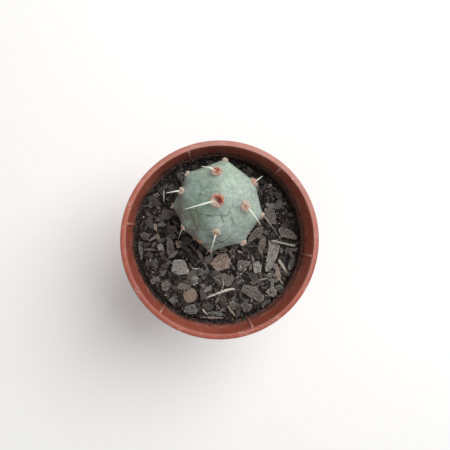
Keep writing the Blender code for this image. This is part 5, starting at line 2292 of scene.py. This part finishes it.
@dataclass
class Litter:
    """The pebble and the dry twigs that lie on the bark."""

    twig_widths: tuple[float, ...] = (0.75, 0.65, 0.65, 0.8, 1.1)
    twig_rings: tuple[int, ...] = (6, 5, 4, 4, 4)
    steps: int = 60
    sides: int = 14

    def pebble(self) -> Mesh:
        """The worn stone."""
        mesh = worked("tan_stone", cad_mesh("pebble"), [("SUBSURF", {"levels": 4, "render_levels": 4})])
        relief = Relief(31)
        places = corners_of(mesh)
        normals = normals_of(mesh)
        spread = places - places.mean(axis=0)
        corner = np.cos(4 * np.arctan2(spread[:, 1], spread[:, 0]) + 0.8)
        lift = 0.3 * relief.layers(places, 2.2, 3) + 0.03 * relief.layers(places, 0.4, 2) + 0.07 * corner
        pits = 0.08 * smooth(0.45, 0.85, relief.at(places + 4.0, 0.6))
        places += normals * (lift - pits + 0.08)[:, None]
        flat_top = places[:, 2].max() - 0.75 + 0.12 * (places[:, 0] - places[:, 0].mean())
        places[:, 2] -= 0.8 * np.maximum(places[:, 2] - flat_top, 0)
        move_corners(mesh, places)
        mesh.materials.clear()
        mesh.materials.append(Pebblestone().dress())
        mesh.shade_smooth()
        return mesh

    def twig(self, number: int) -> Mesh:
        """One dry stick, with knots, ridged bark and broken ends."""
        corners = corners_of(cad_mesh(f"twig_{number:02d}"))
        middle = corners.mean(axis=0)
        _, ways = np.linalg.eigh((corners - middle).T @ (corners - middle))
        share = (corners - middle) @ ways[:, 2]
        share = (share - share.min()) / (share.max() - share.min())
        count = self.twig_rings[number - 1]
        stops = np.linspace(0, 1, count)
        for _ in range(8):
            nearest = np.abs(share[:, None] - stops).argmin(axis=1)
            stops = np.array([share[nearest == ring].mean() for ring in range(count)])
        rings = np.array([corners[nearest == ring].mean(axis=0) for ring in range(count)])
        reach = np.linspace(0, 1, self.steps)
        line = np.column_stack(
            [np.interp(reach, np.linspace(0, 1, count), rings[:, axis]) for axis in range(3)]
        )
        for _ in range(30):
            line[1:-1] = (line[:-2] + 2 * line[1:-1] + line[2:]) / 4
        relief = Relief(60 + number)
        width = self.twig_widths[number - 1] / 2
        knots = sum(np.exp(-((reach - at) / 0.035) ** 2) for at in (0.22 + 0.03 * number, 0.63))
        radii = width * (0.86 + 0.22 * knots + 0.12 * relief.layers(line, 1.1, 2))
        radii *= smooth(0, 0.05, reach + 0.02)
        radii *= smooth(1.0, 0.93, reach - 0.01) * 0.6 + 0.4
        mesh = rod(f"dry_twig_{number:02d}", line, radii, self.sides)
        places = corners_of(mesh)
        own = np.empty(len(places) * 3, np.float32)
        mesh.attributes["own_place"].data.foreach_get("vector", own)
        own = own.reshape(-1, 3)
        ridged = relief.layers(own * [0.25, 2.6, 2.6], 0.5, 2)
        cracks = relief.ridges(own * [0.3, 2, 2], 0.8, 0.2)
        lift = width * (0.24 * ridged - 0.3 * cracks)
        move_corners(mesh, places + normals_of(mesh) * lift[:, None])
        record_value(mesh, "side", np.full(len(places), 0.6))
        record_edges(mesh, 0.03)
        shade(mesh, 60)
        return mesh

    def build_sticks(self, ground: BVHTree) -> None:
        """Build and dress the thin sticks, laid on what is under them.

        Args:
            ground: The mix and everything that lies on it.
        """
        sticks = []
        share = np.linspace(0, 1, 16)
        for number, (width, plan) in enumerate(STICKS):
            stops = np.linspace(0, 1, len(plan))
            flat = np.column_stack(
                [np.interp(share, stops, [point[axis] for point in plan]) for axis in (0, 1)]
            )
            tops = [ground.ray_cast(Vector((x, y, ABOVE_ALL)), DOWN)[0].z for x, y in flat]
            slope = np.polyfit(share, tops, 2)
            height = np.polyval(slope, share)
            height += max(0, float(np.quantile(tops - height, 0.8))) + 0.35 * width
            line = np.column_stack([flat, height])
            sway = [Relief(70 + number + axis).layers(line, 1.5, 2) for axis in range(3)]
            line += 0.12 * np.column_stack(sway)
            radii = width / 2 * (1 - 0.55 * np.abs(2 * share - 0.9) ** 3)
            sticks.append(rod(f"stick_{number}", line, radii, 8))
        mesh = joined("thin_sticks", sticks)
        record_value(mesh, "side", np.full(len(mesh.vertices), 0.6))
        record_edges(mesh, 0.03)
        mesh.materials.append(TWIG_FINISHES[0].dress())
        shade(mesh, 60)
        show("thin_sticks", mesh, "dry_twig")

    def build(self) -> list[Mesh]:
        """Build and dress the pebble and the twigs.

        Returns:
            Their meshes in millimetres, for laying the mix against them.
        """
        kept = [self.pebble()]
        for number, finish in enumerate(TWIG_FINISHES, start=1):
            mesh = self.twig(number)
            mesh.materials.append(finish.dress())
            kept.append(mesh)
        copies = [mesh.copy() for mesh in kept]
        show("tan_stone", kept[0], "tan_pebble", ["pebble"])
        for number, mesh in enumerate(kept[1:], start=1):
            show(f"dry_twig_{number:02d}", mesh, "dry_twig", [f"twig_{number:02d}"])
        return copies


@dataclass
class PottingMix:
    """The mix: lumpy ground that is banked against what lies on it, and what is strewn over it."""

    pot: NurseryPot
    stem: Stem
    covers: Sequence[Mesh]
    lines: int = 200
    radius: float = 25.85
    rise: float = 0.45
    bank: float = 2.2
    side_rings: int = 22
    floor_rings: int = 9
    reach: float = 25.3
    clod_places: tuple[tuple[float, float, float], ...] = ((15.0, 13.3, 2.3), (20.4, 7.7, 2.0))
    mesh: Mesh | None = None

    def disc(self) -> Array:
        """A square net of points drawn out to a disc of radius 1."""
        side = np.linspace(-1, 1, self.lines)
        across, along = (part.ravel() for part in np.meshgrid(side, side))
        wide = np.abs(across) > np.abs(along)
        reach = np.where(wide, across, along)
        safe = np.where(reach == 0, 1, reach)
        turn = np.where(wide, math.pi / 4 * along / safe, math.pi / 2 - math.pi / 4 * across / safe)
        return np.column_stack([reach * np.cos(turn), reach * np.sin(turn)])

    def cast(self, tree: BVHTree, flat: Array, start: float, way: float) -> Array:
        """Height of the first hit of an upright ray at each point, or NaN.

        Args:
            tree: What the rays are cast at.
            flat: Plan of each ray.
            start: Height that they start from.
            way: 1 for up, -1 for down.

        Returns:
            The heights.
        """
        aim = Vector((0, 0, way))
        hits = (tree.ray_cast(Vector((x, y, start)), aim)[0] for x, y in flat)
        return np.array([math.nan if hit is None else hit.z for hit in hits])

    def blurred(self, values: Array, rounds: int) -> Array:
        """Soften values on the square net."""
        net = values.reshape(self.lines, self.lines)
        for _ in range(rounds):
            wide = np.pad(net, 1, mode="edge")
            net = (wide[:-2, 1:-1] + wide[2:, 1:-1] + wide[1:-1, :-2] + wide[1:-1, 2:] + 4 * net) / 8
        return net.ravel()

    def heights(self, flat: Array) -> tuple[Array, Array]:
        """Height of the ground at each point of the disc, and where nothing lies over it.

        Args:
            flat: Plan of the points in millimetres.

        Returns:
            The heights, and 1 where the ground is open to the sky.
        """
        out = np.hypot(flat[:, 0], flat[:, 1])
        held = flat * np.minimum(1, self.reach / np.maximum(out, 1e-6))[:, None]
        ground = self.cast(caster([cad_mesh("potting_mix")]), held, 70.0, -1.0)
        stem = caster([self.stem.mesh])
        under_stem = self.cast(stem, flat, 20.0, 1.0)
        under_cover = self.cast(caster(self.covers), flat, 20.0, 1.0)
        relief = Relief(21)
        level = np.column_stack([flat, ground * 0])
        lumps = (
            0.34 * relief.layers(level, 3.4, 2)
            + 0.24 * relief.layers(level, 1.1, 3)
            + 0.16 * relief.ridges(level + 3.3, 1.0, 0.25)
        )
        plain = self.blurred(ground, 6) + self.rise + lumps
        gap = np.where(np.isnan(under_cover), 0, np.clip(under_cover + 0.25 - plain, 0, self.bank))
        banked = plain + self.blurred(gap, 14) * 1.15
        banked = np.where(np.isnan(under_cover), banked, np.minimum(banked, under_cover + 0.3))
        banked = np.where(np.isnan(under_stem), banked, np.minimum(banked, under_stem + 0.12))
        banked -= 0.5 * smooth(self.radius - 1.2, self.radius, out) * np.clip(banked - 41.5, 0, 1)
        clear = np.isnan(under_stem) | (under_stem - banked > 2.5)
        open_sky = np.isnan(under_cover) & clear
        return banked, self.blurred(open_sky.astype(float), 1)

    def ground(self) -> Mesh:
        """The whole body of the mix, closed, down to the floor of the pot."""
        disc = self.disc()
        flat = disc * self.radius
        height, open_sky = self.heights(flat)
        top = np.column_stack([flat, height])
        wide = self.lines
        index = np.arange(wide * wide).reshape(wide, wide)
        edge = np.concatenate([index[0, :-1], index[:-1, -1], index[-1, :0:-1], index[:0:-1, 0]])
        relief = Relief(22)
        rings = []
        low = self.pot.floor_top + 0.25
        start = top[edge]
        turns = unit(start[:, :2])
        for ring in range(1, self.side_rings + 1):
            share = ring / self.side_rings
            level = start[:, 2] * (1 - share) + low * share
            reach = np.minimum(self.pot.wall_inside(level) - 0.18, self.radius)
            place = np.column_stack([turns * reach[:, None], level])
            dents = np.abs(0.25 * relief.layers(place, 1.6, 3))
            rings.append(place - np.column_stack([turns, level * 0]) * dents[:, None])
        foot = rings[-1]
        for ring in range(1, self.floor_rings):
            share = 1 - ring / self.floor_rings
            place = np.column_stack([foot[:, :2] * share, np.full(len(edge), low)])
            place[:, 2] += np.abs(0.3 * relief.layers(place, 1.5, 3))
            rings.append(place)
        corners = np.vstack([top, *rings, [[0, 0, low]]])
        faces = []
        for row, column in itertools.product(range(wide - 1), range(wide - 1)):
            here = row * wide + column
            faces.append((here, here + 1, here + wide + 1, here + wide))
        count = len(edge)
        loops = [edge] + [wide * wide + ring * count + np.arange(count) for ring in range(len(rings))]
        for upper, lower in zip(loops, loops[1:]):
            after_upper, after_lower = np.roll(upper, -1), np.roll(lower, -1)
            faces.extend(zip(upper, lower, after_lower, after_upper))
        faces.extend(
            (int(here), len(corners) - 1, int(after))
            for here, after in zip(loops[-1], np.roll(loops[-1], -1))
        )
        mesh = mesh_of("mix_ground", corners, [tuple(int(part) for part in face) for face in faces])
        rest = np.zeros(len(corners) - wide * wide)
        out = np.hypot(flat[:, 0], flat[:, 1])
        for name, limit in (("open", 24.2), ("open_fine", 25.4)):
            record_value(mesh, name, np.concatenate([open_sky * (out < limit), rest]))
        return mesh

    def build_ground(self) -> Mesh:
        """Build and dress the ground.

        Returns:
            Its mesh in millimetres, for strewing on.
        """
        mesh = self.ground()
        mesh.materials.append(DampMix().dress())
        mesh.shade_smooth()
        self.mesh = mesh.copy()
        show("mix_ground", mesh, "potting_mix", ["potting_mix"])
        return self.mesh

    def build_strewn(self) -> None:
        """Strew bark bits, crumbs, pale grains and fibres over the ground."""
        bits = [self.bit(f"bit_{seed}", seed) for seed in range(14)]
        grit = [splinter(f"grit_{seed}", (1.0, 0.8, 0.62), 950 + seed, 4) for seed in range(8)]
        threads = [self.thread(f"thread_{seed}", seed) for seed in range(8)]
        dark = tints((21, 18, 17), (37, 33, 32), (66, 61, 58), (35, 32, 33), (128, 121, 116), (31, 31, 31))
        chunky = tints(
            (46, 41, 39), (88, 81, 77), (64, 60, 60), (118, 111, 105), (58, 51, 47), (142, 134, 127)
        )
        peat = tints((16, 13, 12), (28, 24, 21), (48, 42, 39), (98, 90, 84))
        chalk = tints((170, 164, 156), (226, 222, 216), (240, 238, 234))
        roots = tints((84, 70, 58), (128, 110, 92), (186, 172, 154))
        crumbs = Crumbs("peat_crumbs", peat).dress()
        small_bits = Crumbs("bark_bits", dark).dress()
        grains = Crumbs("chalk_grains", chalk, 0.8).dress()
        ledge = self.pot.ledge()
        clods = self.clods()
        chunks = Crumbs("bark_chunks", chunky).dress()
        fibres = Crumbs("root_fibres", roots).dress()
        layers = (
            ("mix_chunks", self.mesh, bits, (0.4, 1.65, 2.8, 5.2, 40, 0.12, 0.5, "open"), chunks),
            ("mix_bits", self.mesh, bits, (0.7, 0.75, 0.9, 2.4, 41, 0.1, 0.75, "open_fine"), small_bits),
            ("mix_crumbs", self.mesh, grit, (5.0, 0.26, 0.3, 1.0, 42, 0.08, 3.0, "open_fine"), crumbs),
            ("mix_grains", self.mesh, grit, (0.32, 0.5, 0.25, 0.6, 43, 0.35, 3.0, "open_fine"), grains),
            ("mix_fibres", self.mesh, threads, (0.1, 1.0, 1.4, 4.2, 44, 0.16, 0.3, "open"), fibres),
            ("ledge_crumbs", ledge, grit, (7.0, 0.24, 0.4, 1.0, 45, 0.05, 3.0, "ledge"), crumbs),
            ("ledge_bits", ledge, bits, (1.6, 0.6, 0.9, 1.7, 46, 0.2, 0.6, "ledge"), small_bits),
            ("clod_crumbs", clods, grit, (7.0, 0.22, 0.3, 0.7, 47, 0.04, 3.0, "open"), crumbs),
            ("clod_grains", clods, grit, (1.6, 0.4, 0.25, 0.5, 48, 0.1, 3.0, "open"), grains),
        )
        for name, ground, shapes, sown, finish in layers:
            mesh = Sower.strew(name, ground.copy(), shapes, Sowing(*sown), finish)
            show(name, mesh, "potting_mix")

    def clods(self) -> Mesh:
        """Two balls of peat that hold together, half sunk in the mix."""
        balls = []
        for number, (x, y, size) in enumerate(self.clod_places):
            bm = bmesh.new()
            bmesh.ops.create_icosphere(bm, subdivisions=4, radius=1)
            mesh = baked(f"clod_{number}", bm)
            hit = caster([self.mesh]).ray_cast(Vector((x, y, ABOVE_ALL)), DOWN)[0]
            ways = corners_of(mesh)
            lumps = 1 + 0.22 * Relief(50 + number).layers(ways, 0.6, 3)
            move_corners(mesh, ways * lumps[:, None] * size * [1, 1, 0.62] + [x, y, hit.z + 0.15 * size])
            balls.append(mesh)
        mesh = joined("mix_clods", balls)
        record_value(mesh, "open", np.ones(len(mesh.vertices)))
        mesh.materials.append(DampMix().dress())
        mesh.shade_smooth()
        show("mix_clods", mesh.copy(), "potting_mix")
        return mesh

    @staticmethod
    def bit(name: str, seed: int) -> Mesh:
        """A small flat angular bit of bark of length 1."""
        draw = np.random.default_rng(700 + seed)
        count = 4 + seed % 3
        turns = (np.arange(count) + draw.uniform(-0.3, 0.3, count)) * 2 * math.pi / count
        reach = draw.uniform(0.36, 0.55, count)
        width = draw.uniform(0.3, 0.75)
        outline = np.column_stack([np.cos(turns) * reach, np.sin(turns) * reach * width])
        mesh = flake(name, outline, draw.uniform(0.14, 0.3), 0, seed)
        record_place(mesh, corners_of(mesh))
        return mesh

    @staticmethod
    def thread(name: str, seed: int) -> Mesh:
        """A thin bent root fibre of length 1, lying down."""
        draw = random.Random(seed)
        share = np.linspace(0, 1, 8)
        sway = draw.uniform(-0.3, 0.3) * np.sin(share * draw.uniform(3, 7))
        points = np.column_stack([share - 0.5, sway, 0.05 * np.sin(share * 5)])
        return rod(name, points, 0.03 * (1 - 0.5 * share), 4)


def main() -> None:
    """Build the studio and every sub-assembly in order."""
    logging.basicConfig(level=logging.INFO, format="%(message)s")
    Studio().build()
    pot = NurseryPot()
    pot.build()
    stem = Stem()
    stem.build()
    areoles = Areoles(stem)
    areoles.build()
    Spines(areoles).build()
    mulch = BarkMulch()
    covers = mulch.build_chips()
    litter = Litter()
    covers += litter.build()
    mix = PottingMix(pot, stem, covers)
    ground = mix.build_ground()
    mulch.ground = caster([ground])
    loose = mulch.build_loose()
    litter.build_sticks(caster([ground, *covers, *loose]))
    mix.build_strewn()


if __name__ == "__main__":
    main()
